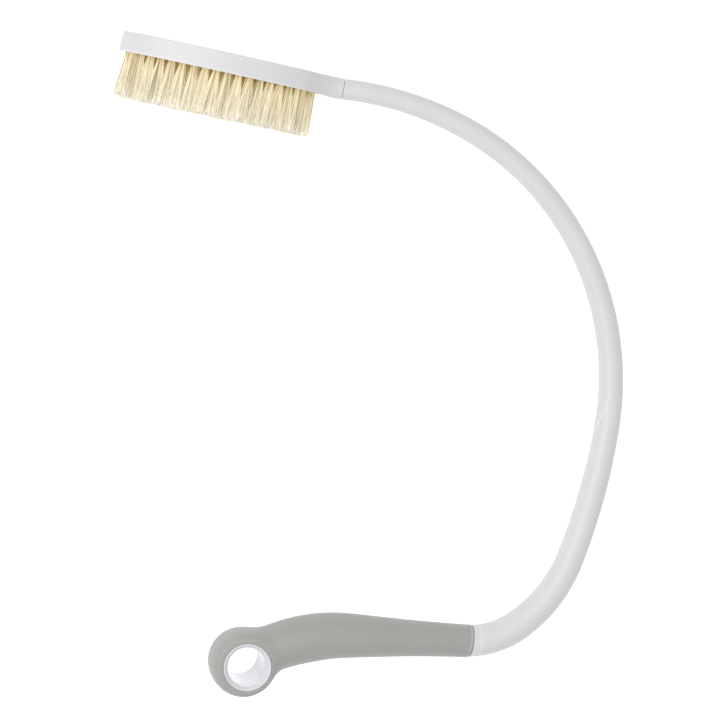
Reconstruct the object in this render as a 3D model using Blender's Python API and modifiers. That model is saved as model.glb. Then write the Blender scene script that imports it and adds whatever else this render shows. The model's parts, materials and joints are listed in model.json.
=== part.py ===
"""Long-handled bath brush: an oval brush head on a hooked tube, with a soft grip and a hanging ring.

The brush is drawn in its own plane, with u to the right, v up the page and w out of the page. The neck seam
between the head and the tube is at u = v = 0. Lying down, the plane leans a little, because the head is wider
than the ring and the tube, so a parent empty holds the whole brush as it rests on its side. Metres, +Z up.
"""

import math

import bmesh
import bpy
from mathutils import Matrix, Vector

# Fits between pieces
CLEARANCE = 0.0003
SEAM_GAP = 0.0002
OVERLAP = 0.002

# Centreline of the handle from the neck seam: radius and length of each bend, clockwise bends positive
NECK_HEADING = math.radians(-6.2)
SHOULDER_BENDS = ((0.2009, 0.0871), (0.1773, 0.2111), (0.3775, 0.0841))
ELBOW_BENDS = ((0.0867, 0.0520), (0.0536, 0.0370))
GRIP_BENDS = ((-5.5760, 0.0720), (-0.1212, 0.0682))

# Tube
TUBE_LENGTH = 0.4624
TUBE_NECK_RADIUS = 0.00620
TUBE_SIDE_RADIUS = 0.0074
TUBE_SIDE_AT = 0.240
TUBE_END_RADIUS = 0.00975
TUBE_FLARE_POWER = 1.35
TUBE_WALL = 0.0021

# Push-fit joint at the neck
SEAM_HEADING = math.radians(-10.5)
NECK_RADIUS = 0.0062
SOCKET_RADIUS = 0.0043
SPIGOT_LENGTH = 0.0160
SPIGOT_CHAMFER = 0.0010
SEAL_SECTION = 0.0007
SEAL_SQUEEZE_GAP = 0.00015
SEAL_FROM_TIP = 0.0055
KEY_WIDTH = 0.0016
KEY_HEIGHT = 0.0009
KEY_LENGTH = 0.0050

# Head plate
HEAD_HEADING = math.radians(-12.4)
NECK_LENGTH = 0.0114
PLATE_HALF_LENGTH = 0.0613
PLATE_HALF_WIDTH = 0.0288
PLATE_THICKNESS = 0.0117
PLATE_EDGE_RADIUS = 0.0008
PLATE_DRAFT = math.radians(3.0)
NECK_FLARE_ONTO_PLATE = 0.0146
NECK_SWELL_ONTO_PLATE = 0.0056
SHELL_WALL = 0.0020
SHELL_ROOF = 0.0022
SHELL_LEDGE = 0.0020
SHELL_LEVELS = tuple(math.radians(a) for a in (-80, -72, -60, -35, 0, 35, 60, 72, 80))

# Bristle carrier and its posts
CARRIER_THICKNESS = 0.0036
CARRIER_RECESS = 0.0004
BACKING_THICKNESS = 0.0012
POST_RADIUS = 0.0022
POST_SPACING = 0.0340

# Bristles
ROW_INSET = 0.0026
ROW_NAMES = ("outer", "second", "third", "centre")
TUFT_PITCH = 0.0069
TUFT_ROOT_HALF = 0.00095
TUFT_TIP_HALF = 0.0016
STRAND_ROOT_RADIUS = 0.00085
STRAND_TIP_RADIUS = 0.00065
BRISTLE_LENGTH = 0.0258
BRISTLE_TIP_SLOPE = math.radians(0.8)
BRISTLE_SPLAY = 0.0019
BRISTLE_RAGGEDNESS = 0.0004

# Grip, its core and the hanging ring
COLLAR_LENGTH = 0.0033
COLLAR_EDGE = 0.0003
CORE_RADIUS = 0.0062
CORE_TUBE_REACH = 0.0160
CORE_TAPER_LENGTH = 0.0060
GRIP_END_RADIUS = 0.0099
GRIP_PALM_RADIUS = 0.0147
GRIP_PALM_AT = 0.1110
GRIP_NECK_RADIUS = 0.0138
GRIP_SWELL_POWER = 1.2
GRIP_EDGE = 0.0004
RING_RADIUS = 0.0203
RING_DEPTH = 0.0276
RING_LIP = 0.0010
RING_BULGE_POWER = 2.4
LINER_RADIUS = 0.0145
LINER_WALL = 0.0030
LINER_DEPTH = 0.0280
LINER_EDGE = 0.0005

# How the brush lies on its side, so that the head, the grip's palm and the tube's lower bend touch the floor
LIE_ABOUT_U = math.radians(2.061)
LIE_ABOUT_V = math.radians(2.414)

# Facets
LONGEST_STEP = 0.012
BEND_TOLERANCE = 0.00006
END_RUN = 0.0005
TUBE_RESOLUTION = 7
BORE_RESOLUTION = 4
GRIP_RESOLUTION = 8
ROUND_STEPS = 40
SMALL_STEPS = 24
OVAL_STEPS = 56
RING_PROFILE_STEPS = 12

BRISTLE_CREAM = (0.86, 0.78, 0.55)
WHITE = (0.86, 0.86, 0.88)
SOFT_GREY = (0.36, 0.36, 0.35)


def clear_scene():
    for old in list(bpy.data.objects):
        bpy.data.objects.remove(old, do_unlink=True)


def make_collection(name):
    collection = bpy.data.collections.new(name)
    bpy.context.scene.collection.children.link(collection)
    return collection


def make_material(name, colour, roughness):
    material = bpy.data.materials.new(name)
    material.use_nodes = True
    shader = material.node_tree.nodes["Principled BSDF"]
    shader.inputs["Base Color"].default_value = (*colour, 1.0)
    shader.inputs["Roughness"].default_value = roughness
    shader.inputs["Metallic"].default_value = 0.0
    return material


def add_object(name, mesh, collection, parent=None):
    made = bpy.data.objects.new(name, mesh)
    collection.objects.link(made)
    made.parent = parent
    return made


def add_cutter(name, mesh, parent):
    cutter = add_object(name, mesh, CUTTERS, parent)
    cutter.hide_render = True
    cutter.display_type = "WIRE"
    return cutter


def add_part(name, mesh, parent, colour, roughness):
    part = add_object(name, mesh, BRUSH, parent)
    part.data.materials.append(make_material(name, colour, roughness))
    part.data.shade_smooth()
    part.data.set_sharp_from_angle(angle=math.radians(35))
    return part


def combine(target, tool, operation):
    modifier = target.modifiers.new(f"{operation.lower()} {tool.name}", "BOOLEAN")
    modifier.operation = operation
    modifier.solver = "EXACT"
    modifier.object = tool


def mesh_from(bm, name):
    bmesh.ops.recalc_face_normals(bm, faces=bm.faces)
    mesh = bpy.data.meshes.new(name)
    bm.to_mesh(mesh)
    bm.free()
    return mesh


def mesh_of_object(made):
    """The evaluated mesh of a curve or a turned profile, closed, with the object itself removed."""
    bpy.context.view_layer.update()
    graph = bpy.context.evaluated_depsgraph_get()
    mesh = bpy.data.meshes.new_from_object(made.evaluated_get(graph))
    mesh.transform(made.matrix_world)
    bm = bmesh.new()
    bm.from_mesh(mesh)
    bmesh.ops.remove_doubles(bm, verts=bm.verts, dist=1e-6)
    bmesh.ops.recalc_face_normals(bm, faces=bm.faces)
    bm.to_mesh(mesh)
    bm.free()
    bpy.data.objects.remove(made, do_unlink=True)
    return mesh


BENDS = SHOULDER_BENDS + ELBOW_BENDS + GRIP_BENDS
RING_AT = sum(length for _, length in BENDS)
GRIP_START = TUBE_LENGTH + COLLAR_LENGTH + SEAM_GAP


def handle_point(distance):
    """Place and heading on the handle's centreline, a distance along it from the neck seam."""
    place = Vector((0.0, 0.0, 0.0))
    heading = NECK_HEADING
    left = distance
    for radius, length in BENDS:
        run = min(left, length)
        if run <= 0.0:
            break
        turned = heading - run / radius
        across = math.sin(heading) - math.sin(turned)
        up = math.cos(turned) - math.cos(heading)
        place += radius * Vector((across, up, 0.0))
        heading = turned
        left -= run
    place += left * Vector((math.cos(heading), math.sin(heading), 0.0))
    return place, heading


def frame_at(place, heading):
    """A frame whose Z axis runs along the heading, with Y out of the brush's plane."""
    along = Vector((math.cos(heading), math.sin(heading), 0.0))
    out = Vector((0.0, 0.0, 1.0))
    side = out.cross(along)
    frame = Matrix((side, out, along)).transposed().to_4x4()
    frame.translation = place
    return frame


def tube_radius(distance):
    if distance < TUBE_SIDE_AT:
        share = max(0.0, distance) / TUBE_SIDE_AT
        return TUBE_NECK_RADIUS + (TUBE_SIDE_RADIUS - TUBE_NECK_RADIUS) * share
    share = (distance - TUBE_SIDE_AT) / (TUBE_LENGTH - TUBE_SIDE_AT)
    return TUBE_SIDE_RADIUS + (TUBE_END_RADIUS - TUBE_SIDE_RADIUS) * share**TUBE_FLARE_POWER


def bore_radius(distance):
    return tube_radius(min(distance, TUBE_LENGTH)) - TUBE_WALL


def core_radius(distance):
    """The core fills the tube's bore, passes the collar at that size, and narrows inside the soft grip."""
    in_tube = bore_radius(distance) - CLEARANCE
    share = (distance - GRIP_START) / CORE_TAPER_LENGTH
    share = min(1.0, max(0.0, share))
    return in_tube + (CORE_RADIUS - in_tube) * share


def core_room_radius(distance):
    return core_radius(distance) + CLEARANCE


def grip_radius(distance):
    """Soft grip: it swells from the collar to the palm and draws in a little at the ring."""
    along = distance - TUBE_LENGTH
    if along < GRIP_PALM_AT:
        swell = (max(0.0, along) / GRIP_PALM_AT) ** GRIP_SWELL_POWER
        share = 0.5 - 0.5 * math.cos(math.pi * swell)
        return GRIP_END_RADIUS + (GRIP_PALM_RADIUS - GRIP_END_RADIUS) * share
    share = (along - GRIP_PALM_AT) / (RING_AT - TUBE_LENGTH - GRIP_PALM_AT)
    return GRIP_PALM_RADIUS + (GRIP_NECK_RADIUS - GRIP_PALM_RADIUS) * share**2


def ring_distances():
    """Distances along the handle where swept pieces have a ring, close enough to follow each bend."""
    found = [0.0]
    for radius, length in BENDS:
        step = min(LONGEST_STEP, math.sqrt(8 * abs(radius) * BEND_TOLERANCE))
        count = math.ceil(length / step)
        start = found[-1]
        found += [start + length * (i + 1) / count for i in range(count)]
    return found


def stations(start, end):
    """The rings of one swept piece, with a short run at each end that squares its caps."""
    inner = [distance for distance in ring_distances() if start + 2 * END_RUN < distance < end - 2 * END_RUN]
    return [start, start + END_RUN] + inner + [end - END_RUN, end]


def swept_mesh(name, distances, radius_at, resolution):
    """A round bar along the handle's centreline, whose radius follows a rule."""
    curve = bpy.data.curves.new(name, "CURVE")
    curve.dimensions = "3D"
    curve.bevel_depth = 1.0
    curve.bevel_resolution = resolution
    curve.use_fill_caps = True
    spline = curve.splines.new("POLY")
    spline.points.add(len(distances) - 1)
    for point, distance in zip(spline.points, distances):
        place, _ = handle_point(distance)
        point.co = (*place, 1.0)
        point.radius = radius_at(distance)
    return mesh_of_object(add_object(name, curve, CUTTERS))


def turned_mesh(name, profile, steps, frame):
    """A solid turned about the frame's Z axis. Its profile is (radius, height) points from the top down."""
    mesh = bpy.data.meshes.new(name)
    edges = [(i, (i + 1) % len(profile)) for i in range(len(profile))]
    if profile[0][0] == 0.0 and profile[-1][0] == 0.0:
        edges.pop()
    mesh.from_pydata([(radius, 0.0, height) for radius, height in profile], edges, [])
    made = add_object(name, mesh, CUTTERS)
    screw = made.modifiers.new("turn", "SCREW")
    screw.steps = steps
    screw.render_steps = steps
    screw.use_merge_vertices = True
    screw.merge_threshold = 1e-5
    made.matrix_world = frame
    return mesh_of_object(made)


def oval_mesh(name, half_length, half_width, bottom, top):
    """An upright oval block about the middle of the head plate."""
    bm = bmesh.new()
    shape = Matrix.Diagonal((half_length, half_width, top - bottom, 1.0))
    middle = Matrix.Translation((PLATE_MIDDLE, 0.0, (top + bottom) / 2))
    bmesh.ops.create_cone(bm, cap_ends=True, segments=OVAL_STEPS, radius1=1.0, radius2=1.0, depth=1.0)
    bmesh.ops.transform(bm, matrix=middle @ shape, verts=bm.verts)
    return mesh_from(bm, name)


def box_mesh(name, low, high, frame):
    bm = bmesh.new()
    size = Vector(high) - Vector(low)
    middle = (Vector(high) + Vector(low)) / 2
    bmesh.ops.create_cube(bm, size=1.0)
    bmesh.ops.transform(bm, matrix=Matrix.Translation(middle) @ Matrix.Diagonal((*size, 1.0)), verts=bm.verts)
    bmesh.ops.transform(bm, matrix=frame, verts=bm.verts)
    return mesh_from(bm, name)


# Lengths along the head from the seam, then levels from the middle of the plate's thickness towards its back
NECK_FLARE_LENGTH = NECK_LENGTH + NECK_FLARE_ONTO_PLATE
NECK_SWELL_LENGTH = NECK_LENGTH + NECK_SWELL_ONTO_PLATE
PLATE_MIDDLE = NECK_LENGTH + PLATE_HALF_LENGTH
PLATE_BACK = PLATE_THICKNESS / 2
BACKING_FACE = -PLATE_BACK + CARRIER_RECESS
CARRIER_FACE = BACKING_FACE + BACKING_THICKNESS + SEAM_GAP
CARRIER_BACK = CARRIER_FACE + CARRIER_THICKNESS
ROOF = PLATE_BACK - SHELL_ROOF
SEAM_TILT = SEAM_HEADING - HEAD_HEADING
SEAL_AT = SPIGOT_LENGTH - SEAL_FROM_TIP


def fade(distance, length):
    """One at the seam, falling smoothly to nothing at a length from it."""
    share = min(1.0, max(0.0, distance / length))
    return 1.0 - share * share * (3.0 - 2.0 * share)


def shell_outline(level):
    """Half of the shell's outline at one level, from the seam to the tip of the plate, as (x, y, z)."""
    sine = math.sin(level)
    height = PLATE_BACK * sine / math.sin(SHELL_LEVELS[-1])
    past_edge = min(PLATE_EDGE_RADIUS, max(0.0, abs(height) - (PLATE_BACK - PLATE_EDGE_RADIUS)))
    rounding = PLATE_EDGE_RADIUS - math.sqrt(PLATE_EDGE_RADIUS**2 - past_edge**2)
    inset = rounding + height * math.tan(PLATE_DRAFT)
    half_length = PLATE_HALF_LENGTH - inset
    half_width = PLATE_HALF_WIDTH - inset
    join = math.acos((NECK_FLARE_LENGTH - PLATE_MIDDLE) / half_length)
    join_width = half_width * math.sin(join)
    join_slope = -half_width * math.cos(join) / (half_length * math.sin(join))
    seam_width = NECK_RADIUS * math.cos(level)
    points = []
    flare_steps = 9
    for i in range(flare_steps):
        share = i / flare_steps
        eased = share * share * (3.0 - 2.0 * share)
        width = seam_width + (join_width - seam_width) * eased
        width += share * share * (share - 1.0) * NECK_FLARE_LENGTH * join_slope
        points.append((share * NECK_FLARE_LENGTH, width))
    oval_steps = 20
    for i in range(oval_steps + 1):
        angle = join * (1.0 - i / oval_steps)
        points.append((PLATE_MIDDLE + half_length * math.cos(angle), half_width * math.sin(angle)))
    raised = []
    for x, y in points:
        swell = fade(x, NECK_SWELL_LENGTH)
        z = height + (NECK_RADIUS * sine - height) * swell
        lean = z * math.tan(SEAM_TILT) * (1.0 - min(1.0, x / NECK_FLARE_LENGTH))
        raised.append((x + lean, y, z))
    return raised


def shell_mesh():
    """Loft from the round neck to the oval plate, one outline for each level of its thickness."""
    bm = bmesh.new()
    rings = []
    for level in SHELL_LEVELS:
        near = shell_outline(level)
        far = [(x, -y, z) for x, y, z in reversed(near[:-1])]
        rings.append([bm.verts.new(point) for point in near + far])
    for lower, upper in zip(rings, rings[1:]):
        for i in range(len(lower)):
            j = (i + 1) % len(lower)
            bm.faces.new((lower[i], lower[j], upper[j], upper[i]))
    for ring in (rings[0], rings[-1]):
        neck = 0
        while ring[neck].co.x < NECK_SWELL_LENGTH:
            bm.faces.new((ring[neck], ring[neck + 1], ring[-2 - neck], ring[-1 - neck]))
            neck += 1
        bm.faces.new(ring[neck : len(ring) - neck])
    return mesh_from(bm, "head_shell")


def spigot_profile():
    """Spigot from its tip down to its root inside the neck, with the groove for the seal."""
    radius = SOCKET_RADIUS - CLEARANCE
    groove_half = SEAL_SECTION + SEAL_SQUEEZE_GAP
    floor = SOCKET_RADIUS - 2 * (SEAL_SECTION + SEAL_SQUEEZE_GAP)
    return [
        (0.0, SPIGOT_LENGTH),
        (radius - SPIGOT_CHAMFER, SPIGOT_LENGTH),
        (radius, SPIGOT_LENGTH - SPIGOT_CHAMFER),
        (radius, SEAL_AT + groove_half),
        (floor, SEAL_AT + groove_half),
        (floor, SEAL_AT - groove_half),
        (radius, SEAL_AT - groove_half),
        (radius, -OVERLAP),
        (0.0, -OVERLAP),
    ]


def key_box(name, extra):
    """The key on the spigot, or its slot in the tube when extra is the clearance."""
    low = (-(SOCKET_RADIUS - CLEARANCE) - KEY_HEIGHT - extra, -KEY_WIDTH / 2 - extra, -OVERLAP)
    high = (-(SOCKET_RADIUS - CLEARANCE) / 2, KEY_WIDTH / 2 + extra, KEY_LENGTH + extra)
    return box_mesh(name, low, high, SEAM_FRAME)


SEAM_FRAME = frame_at(Vector((0.0, 0.0, 0.0)), SEAM_HEADING)


def head_matrix():
    """Head frame: X from the seam to the plate's tip, Y out of the brush's plane, Z to the plate's back."""
    along = Vector((-math.cos(HEAD_HEADING), -math.sin(HEAD_HEADING), 0.0))
    out = Vector((0.0, 0.0, 1.0))
    back = along.cross(out)
    return Matrix((along, out, back)).transposed().to_4x4()


def make_head_shell(lying, head):
    shell = add_part("head_shell", shell_mesh(), head, WHITE, 0.35)
    inner_length = PLATE_HALF_LENGTH - SHELL_WALL
    inner_width = PLATE_HALF_WIDTH - SHELL_WALL
    seat = CARRIER_BACK + SEAM_GAP
    pocket = oval_mesh("carrier_pocket", inner_length, inner_width, -PLATE_THICKNESS, seat)
    ledge_length = inner_length - SHELL_LEDGE
    ledge_width = inner_width - SHELL_LEDGE
    hollow = oval_mesh("roof_hollow", ledge_length, ledge_width, seat - OVERLAP, ROOF)
    combine(shell, add_cutter("carrier_pocket", pocket, head), "DIFFERENCE")
    combine(shell, add_cutter("roof_hollow", hollow, head), "DIFFERENCE")
    for side in (-1, 1):
        place = Matrix.Translation((PLATE_MIDDLE + side * POST_SPACING, 0.0, 0.0))
        root = ROOF + SHELL_ROOF / 2
        tip = CARRIER_FACE + SEAM_GAP
        profile = [(0.0, root), (POST_RADIUS, root), (POST_RADIUS, tip), (0.0, tip)]
        post = turned_mesh(f"post_{side}", profile, SMALL_STEPS, place)
        combine(shell, add_cutter(f"post_{side}", post, head), "UNION")
    spigot = turned_mesh("spigot", spigot_profile(), SMALL_STEPS, SEAM_FRAME)
    combine(shell, add_cutter("spigot", spigot, lying), "UNION")
    combine(shell, add_cutter("key", key_box("key", 0.0), lying), "UNION")


def make_carrier(head):
    size = SHELL_WALL + CLEARANCE
    half_length = PLATE_HALF_LENGTH - size
    half_width = PLATE_HALF_WIDTH - size
    mesh = oval_mesh("bristle_carrier", half_length, half_width, CARRIER_FACE, CARRIER_BACK)
    carrier = add_part("bristle_carrier", mesh, head, WHITE, 0.45)
    for side in (-1, 1):
        place = Matrix.Translation((PLATE_MIDDLE + side * POST_SPACING, 0.0, 0.0))
        radius = POST_RADIUS + CLEARANCE
        low = CARRIER_FACE - OVERLAP
        high = CARRIER_BACK + OVERLAP
        profile = [(0.0, high), (radius, high), (radius, low), (0.0, low)]
        hole = turned_mesh(f"post_hole_{side}", profile, SMALL_STEPS, place)
        combine(carrier, add_cutter(f"post_hole_{side}", hole, head), "DIFFERENCE")


def oval_places(half_length, half_width):
    """Evenly spaced tufts along an oval, squarer for an inner row: place, and outward direction of each."""
    samples = 720
    power = 2.0 / (2.0 + 0.6 * (1.0 - half_width / PLATE_HALF_WIDTH))
    ring = []
    for i in range(samples):
        angle = 2.0 * math.pi * i / samples
        x = math.copysign(abs(math.cos(angle)) ** power, math.cos(angle))
        y = math.copysign(abs(math.sin(angle)) ** power, math.sin(angle))
        ring.append(Vector((half_length * x, half_width * y)))
    steps = [(following - point).length for point, following in zip(ring, ring[1:] + ring[:1])]
    count = round(sum(steps) / TUFT_PITCH)
    pitch = sum(steps) / count
    places = []
    passed = pitch / 2
    for point, following, step in zip(ring, ring[1:] + ring[:1], steps):
        passed += step
        if passed >= pitch and len(places) < count:
            passed -= pitch
            along = (following - point).normalized()
            places.append((following, Vector((along.y, -along.x))))
    return places


def line_places(half_length):
    """The middle row, a straight line of tufts."""
    count = 1 + math.floor((2 * half_length - TUFT_PITCH) / TUFT_PITCH)
    offsets = [(i - (count - 1) / 2) * TUFT_PITCH for i in range(count)]
    return [(Vector((offset, 0.0)), Vector((0.0, 1.0))) for offset in offsets]


def add_strand(bm, root, tip, turn):
    along = tip - root
    frame = along.to_track_quat("Z", "Y").to_matrix().to_4x4()
    frame.translation = (root + tip) / 2
    bmesh.ops.create_cone(
        bm,
        cap_ends=True,
        segments=3,
        radius1=STRAND_ROOT_RADIUS,
        radius2=STRAND_TIP_RADIUS,
        depth=along.length,
        matrix=frame @ Matrix.Rotation(turn, 4, "Z"),
    )


def strand_mesh(name, places):
    """Tufts of four strands each, that open out towards their tips and splay from the middle of the head."""
    bm = bmesh.new()
    root_depth = BACKING_FACE + BACKING_THICKNESS / 2
    for number, (place, outward) in enumerate(places):
        side = Vector((-outward.y, outward.x))
        lean = BRISTLE_SPLAY * Vector((place.x / PLATE_HALF_LENGTH, place.y / PLATE_HALF_WIDTH))
        for corner, (across, along) in enumerate(((-1, -1), (1, -1), (1, 1), (-1, 1))):
            way = across * outward + along * side
            root = place + TUFT_ROOT_HALF * way
            tip = place + TUFT_TIP_HALF * way + lean
            ragged = BRISTLE_RAGGEDNESS * math.sin(2.4 * number + 1.7 * corner)
            reach = BRISTLE_LENGTH + tip.x * math.tan(BRISTLE_TIP_SLOPE) + ragged
            low = Vector((PLATE_MIDDLE + tip.x, tip.y, -PLATE_BACK - reach))
            high = Vector((PLATE_MIDDLE + root.x, root.y, root_depth))
            add_strand(bm, high, low, 1.9 * corner + number)
    return mesh_from(bm, name)


def make_bristles(head):
    """One node for each row of tufts, with the ring of drilled backing that holds it."""
    top = BACKING_FACE + BACKING_THICKNESS
    edge = SHELL_WALL + CLEARANCE
    spacing = (PLATE_HALF_WIDTH - edge - ROW_INSET) / (len(ROW_NAMES) - 1)
    for number, row in enumerate(ROW_NAMES):
        inset = edge + ROW_INSET + number * spacing
        outer = max(edge, inset - spacing / 2 + CLEARANCE / 2)
        inner = inset + spacing / 2 - CLEARANCE / 2
        name = f"bristle_row_{row}"
        band = oval_mesh(name, PLATE_HALF_LENGTH - outer, PLATE_HALF_WIDTH - outer, BACKING_FACE, top)
        bristles = add_part(name, band, head, BRISTLE_CREAM, 0.6)
        if inner < PLATE_HALF_WIDTH:
            low = BACKING_FACE - OVERLAP
            size = (PLATE_HALF_LENGTH - inner, PLATE_HALF_WIDTH - inner)
            hole = oval_mesh(f"{row}_band_hole", *size, low, top + OVERLAP)
            combine(bristles, add_cutter(f"{row}_band_hole", hole, head), "DIFFERENCE")
            places = oval_places(PLATE_HALF_LENGTH - inset, PLATE_HALF_WIDTH - inset)
        else:
            places = line_places(PLATE_HALF_LENGTH - inset)
        strands = strand_mesh(f"{row}_strands", places)
        combine(bristles, add_cutter(f"{row}_strands", strands, head), "UNION")


def make_seal(lying):
    """Round-section ring in the spigot's groove."""
    centre = SOCKET_RADIUS - SEAL_SQUEEZE_GAP - SEAL_SECTION
    steps = 8
    angles = [math.pi / 2 - 2 * math.pi * i / steps for i in range(steps)]
    profile = [(centre + SEAL_SECTION * math.cos(a), SEAL_AT + SEAL_SECTION * math.sin(a)) for a in angles]
    seal = turned_mesh("neck_seal", profile, SMALL_STEPS, SEAM_FRAME)
    add_part("neck_seal", seal, lying, SOFT_GREY, 0.7)


def make_tube(lying):
    outer = swept_mesh("handle_tube", stations(-2 * OVERLAP, TUBE_LENGTH), tube_radius, TUBE_RESOLUTION)
    tube = add_part("handle_tube", outer, lying, WHITE, 0.3)
    reach = 0.020
    square = box_mesh("neck_end_cut", (-reach, -reach, -reach), (reach, reach, SEAM_GAP), SEAM_FRAME)
    combine(tube, add_cutter("neck_end_cut", square, lying), "DIFFERENCE")
    depth = SPIGOT_LENGTH + SEAM_GAP + CLEARANCE
    profile = [(0.0, depth), (SOCKET_RADIUS, depth), (SOCKET_RADIUS, -OVERLAP), (0.0, -OVERLAP)]
    socket = turned_mesh("neck_socket", profile, SMALL_STEPS, SEAM_FRAME)
    combine(tube, add_cutter("neck_socket", socket, lying), "DIFFERENCE")
    combine(tube, add_cutter("key_slot", key_box("key_slot", CLEARANCE), lying), "DIFFERENCE")
    bore_stations = stations(depth - OVERLAP / 2, TUBE_LENGTH + OVERLAP)
    bore = swept_mesh("tube_bore", bore_stations, bore_radius, BORE_RESOLUTION)
    combine(tube, add_cutter("tube_bore", bore, lying), "DIFFERENCE")


def make_core(lying):
    """Rod through the grip, from inside the tube's end to just short of the ring's liner."""
    core_stations = stations(TUBE_LENGTH - CORE_TUBE_REACH, RING_AT - LINER_RADIUS - CLEARANCE)
    mesh = swept_mesh("grip_core", core_stations, core_radius, BORE_RESOLUTION)
    add_part("grip_core", mesh, lying, WHITE, 0.4)


def collar_radius(distance):
    """The collar is as wide as the tube's end, with both of its edges taken off."""
    into = min(distance - TUBE_LENGTH - SEAM_GAP, TUBE_LENGTH + COLLAR_LENGTH - distance)
    return TUBE_END_RADIUS - COLLAR_EDGE * (1.0 - min(1.0, into / COLLAR_EDGE))


def make_collar(lying):
    """Spacer ring that follows the bend between the tube's end and the soft grip."""
    start = TUBE_LENGTH + SEAM_GAP
    end = TUBE_LENGTH + COLLAR_LENGTH
    middle = (start + end) / 2
    edges = [start, start + COLLAR_EDGE, middle, end - COLLAR_EDGE, end]
    body = swept_mesh("grip_collar", edges, collar_radius, GRIP_RESOLUTION)
    collar = add_part("grip_collar", body, lying, WHITE, 0.3)
    bore_stations = stations(start - OVERLAP, end + OVERLAP)
    bore = swept_mesh("collar_bore", bore_stations, core_room_radius, BORE_RESOLUTION)
    combine(collar, add_cutter("collar_bore", bore, lying), "DIFFERENCE")


def ring_matrix():
    """Frame of the hanging ring: its Z axis is square to the brush's plane."""
    place, _ = handle_point(RING_AT)
    return Matrix.Translation(place)


def make_liner(lying):
    half = LINER_DEPTH / 2
    inner = LINER_RADIUS - LINER_WALL
    profile = [
        (LINER_RADIUS - LINER_EDGE, half),
        (LINER_RADIUS, half - LINER_EDGE),
        (LINER_RADIUS, LINER_EDGE - half),
        (LINER_RADIUS - LINER_EDGE, -half),
        (inner + LINER_EDGE, -half),
        (inner, LINER_EDGE - half),
        (inner, half - LINER_EDGE),
        (inner + LINER_EDGE, half),
    ]
    liner = turned_mesh("hanging_ring_liner", profile, ROUND_STEPS, ring_matrix())
    add_part("hanging_ring_liner", liner, lying, WHITE, 0.3)


def grip_outside_radius(distance):
    """The grip's radius, with its edge taken off where it meets the collar."""
    bite = GRIP_EDGE if distance < GRIP_START + END_RUN / 2 else 0.0
    return grip_radius(distance) - bite


def make_soft_grip(lying):
    grip_stations = stations(GRIP_START, RING_AT - LINER_RADIUS / 2)
    body = swept_mesh("soft_grip", grip_stations, grip_outside_radius, GRIP_RESOLUTION)
    grip = add_part("soft_grip", body, lying, SOFT_GREY, 0.65)
    half = RING_DEPTH / 2
    hole = LINER_RADIUS + CLEARANCE
    lip = hole + RING_LIP
    profile = [(0.0, half), (lip, half)]
    for i in range(1, RING_PROFILE_STEPS):
        angle = math.pi * i / RING_PROFILE_STEPS
        out = math.sin(angle) ** (2.0 / RING_BULGE_POWER)
        down = math.copysign(abs(math.cos(angle)) ** (2.0 / RING_BULGE_POWER), math.cos(angle))
        profile.append((lip + (RING_RADIUS - lip) * out, half * down))
    profile += [(lip, -half), (0.0, -half)]
    ring = turned_mesh("ring_body", profile, ROUND_STEPS, ring_matrix())
    combine(grip, add_cutter("ring_body", ring, lying), "UNION")
    room_stations = stations(GRIP_START - OVERLAP, RING_AT - LINER_RADIUS + OVERLAP)
    core_room = swept_mesh("core_room", room_stations, core_room_radius, BORE_RESOLUTION)
    combine(grip, add_cutter("core_room", core_room, lying), "DIFFERENCE")
    past = LINER_DEPTH
    profile = [(0.0, past), (hole, past), (hole, -past), (0.0, -past)]
    bore = turned_mesh("liner_hole", profile, ROUND_STEPS, ring_matrix())
    combine(grip, add_cutter("liner_hole", bore, lying), "DIFFERENCE")


def lay_on_floor(lying):
    """Lets the lowest point touch z = 0, with the middle of the brush's box over the origin."""
    bpy.context.view_layer.update()
    graph = bpy.context.evaluated_depsgraph_get()
    points = []
    for part in BRUSH.objects:
        if part.type != "MESH":
            continue
        solid = part.evaluated_get(graph)
        points += [solid.matrix_world @ vertex.co for vertex in solid.data.vertices]
    low = [min(point[axis] for point in points) for axis in range(3)]
    high = [max(point[axis] for point in points) for axis in range(3)]
    lying.location -= Vector(((low[0] + high[0]) / 2, (low[1] + high[1]) / 2, low[2]))


def main():
    lying = add_object("lying_brush", None, BRUSH)
    head = add_object("head_on_neck", None, BRUSH, lying)
    head.matrix_local = head_matrix()
    make_head_shell(lying, head)
    make_carrier(head)
    make_bristles(head)
    make_seal(lying)
    make_tube(lying)
    make_core(lying)
    make_collar(lying)
    make_liner(lying)
    make_soft_grip(lying)
    lying.rotation_euler = (LIE_ABOUT_U, LIE_ABOUT_V, 0.0)
    lay_on_floor(lying)


clear_scene()
BRUSH = make_collection("bath_brush")
CUTTERS = make_collection("cutters")
main()
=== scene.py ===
"""Looks of the long-handled bath brush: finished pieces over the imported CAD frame, with studio light and camera.

Shapes are drawn in the brush's own plane, as in the CAD: u to the right, v up, w out of the plane, the neck seam at
the origin. Finished meshes are carried to the lying brush's place before they ride on a body. Metres throughout.
"""

import json
from functools import partial
from math import acos, atan, copysign, cos, pi, radians, sin, tan

import bmesh
import bpy
import numpy as np
from bpy.props import FloatProperty, FloatVectorProperty, IntProperty, PointerProperty
from bpy.types import Operator, Panel, PropertyGroup
from mathutils import Matrix, Vector

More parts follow.
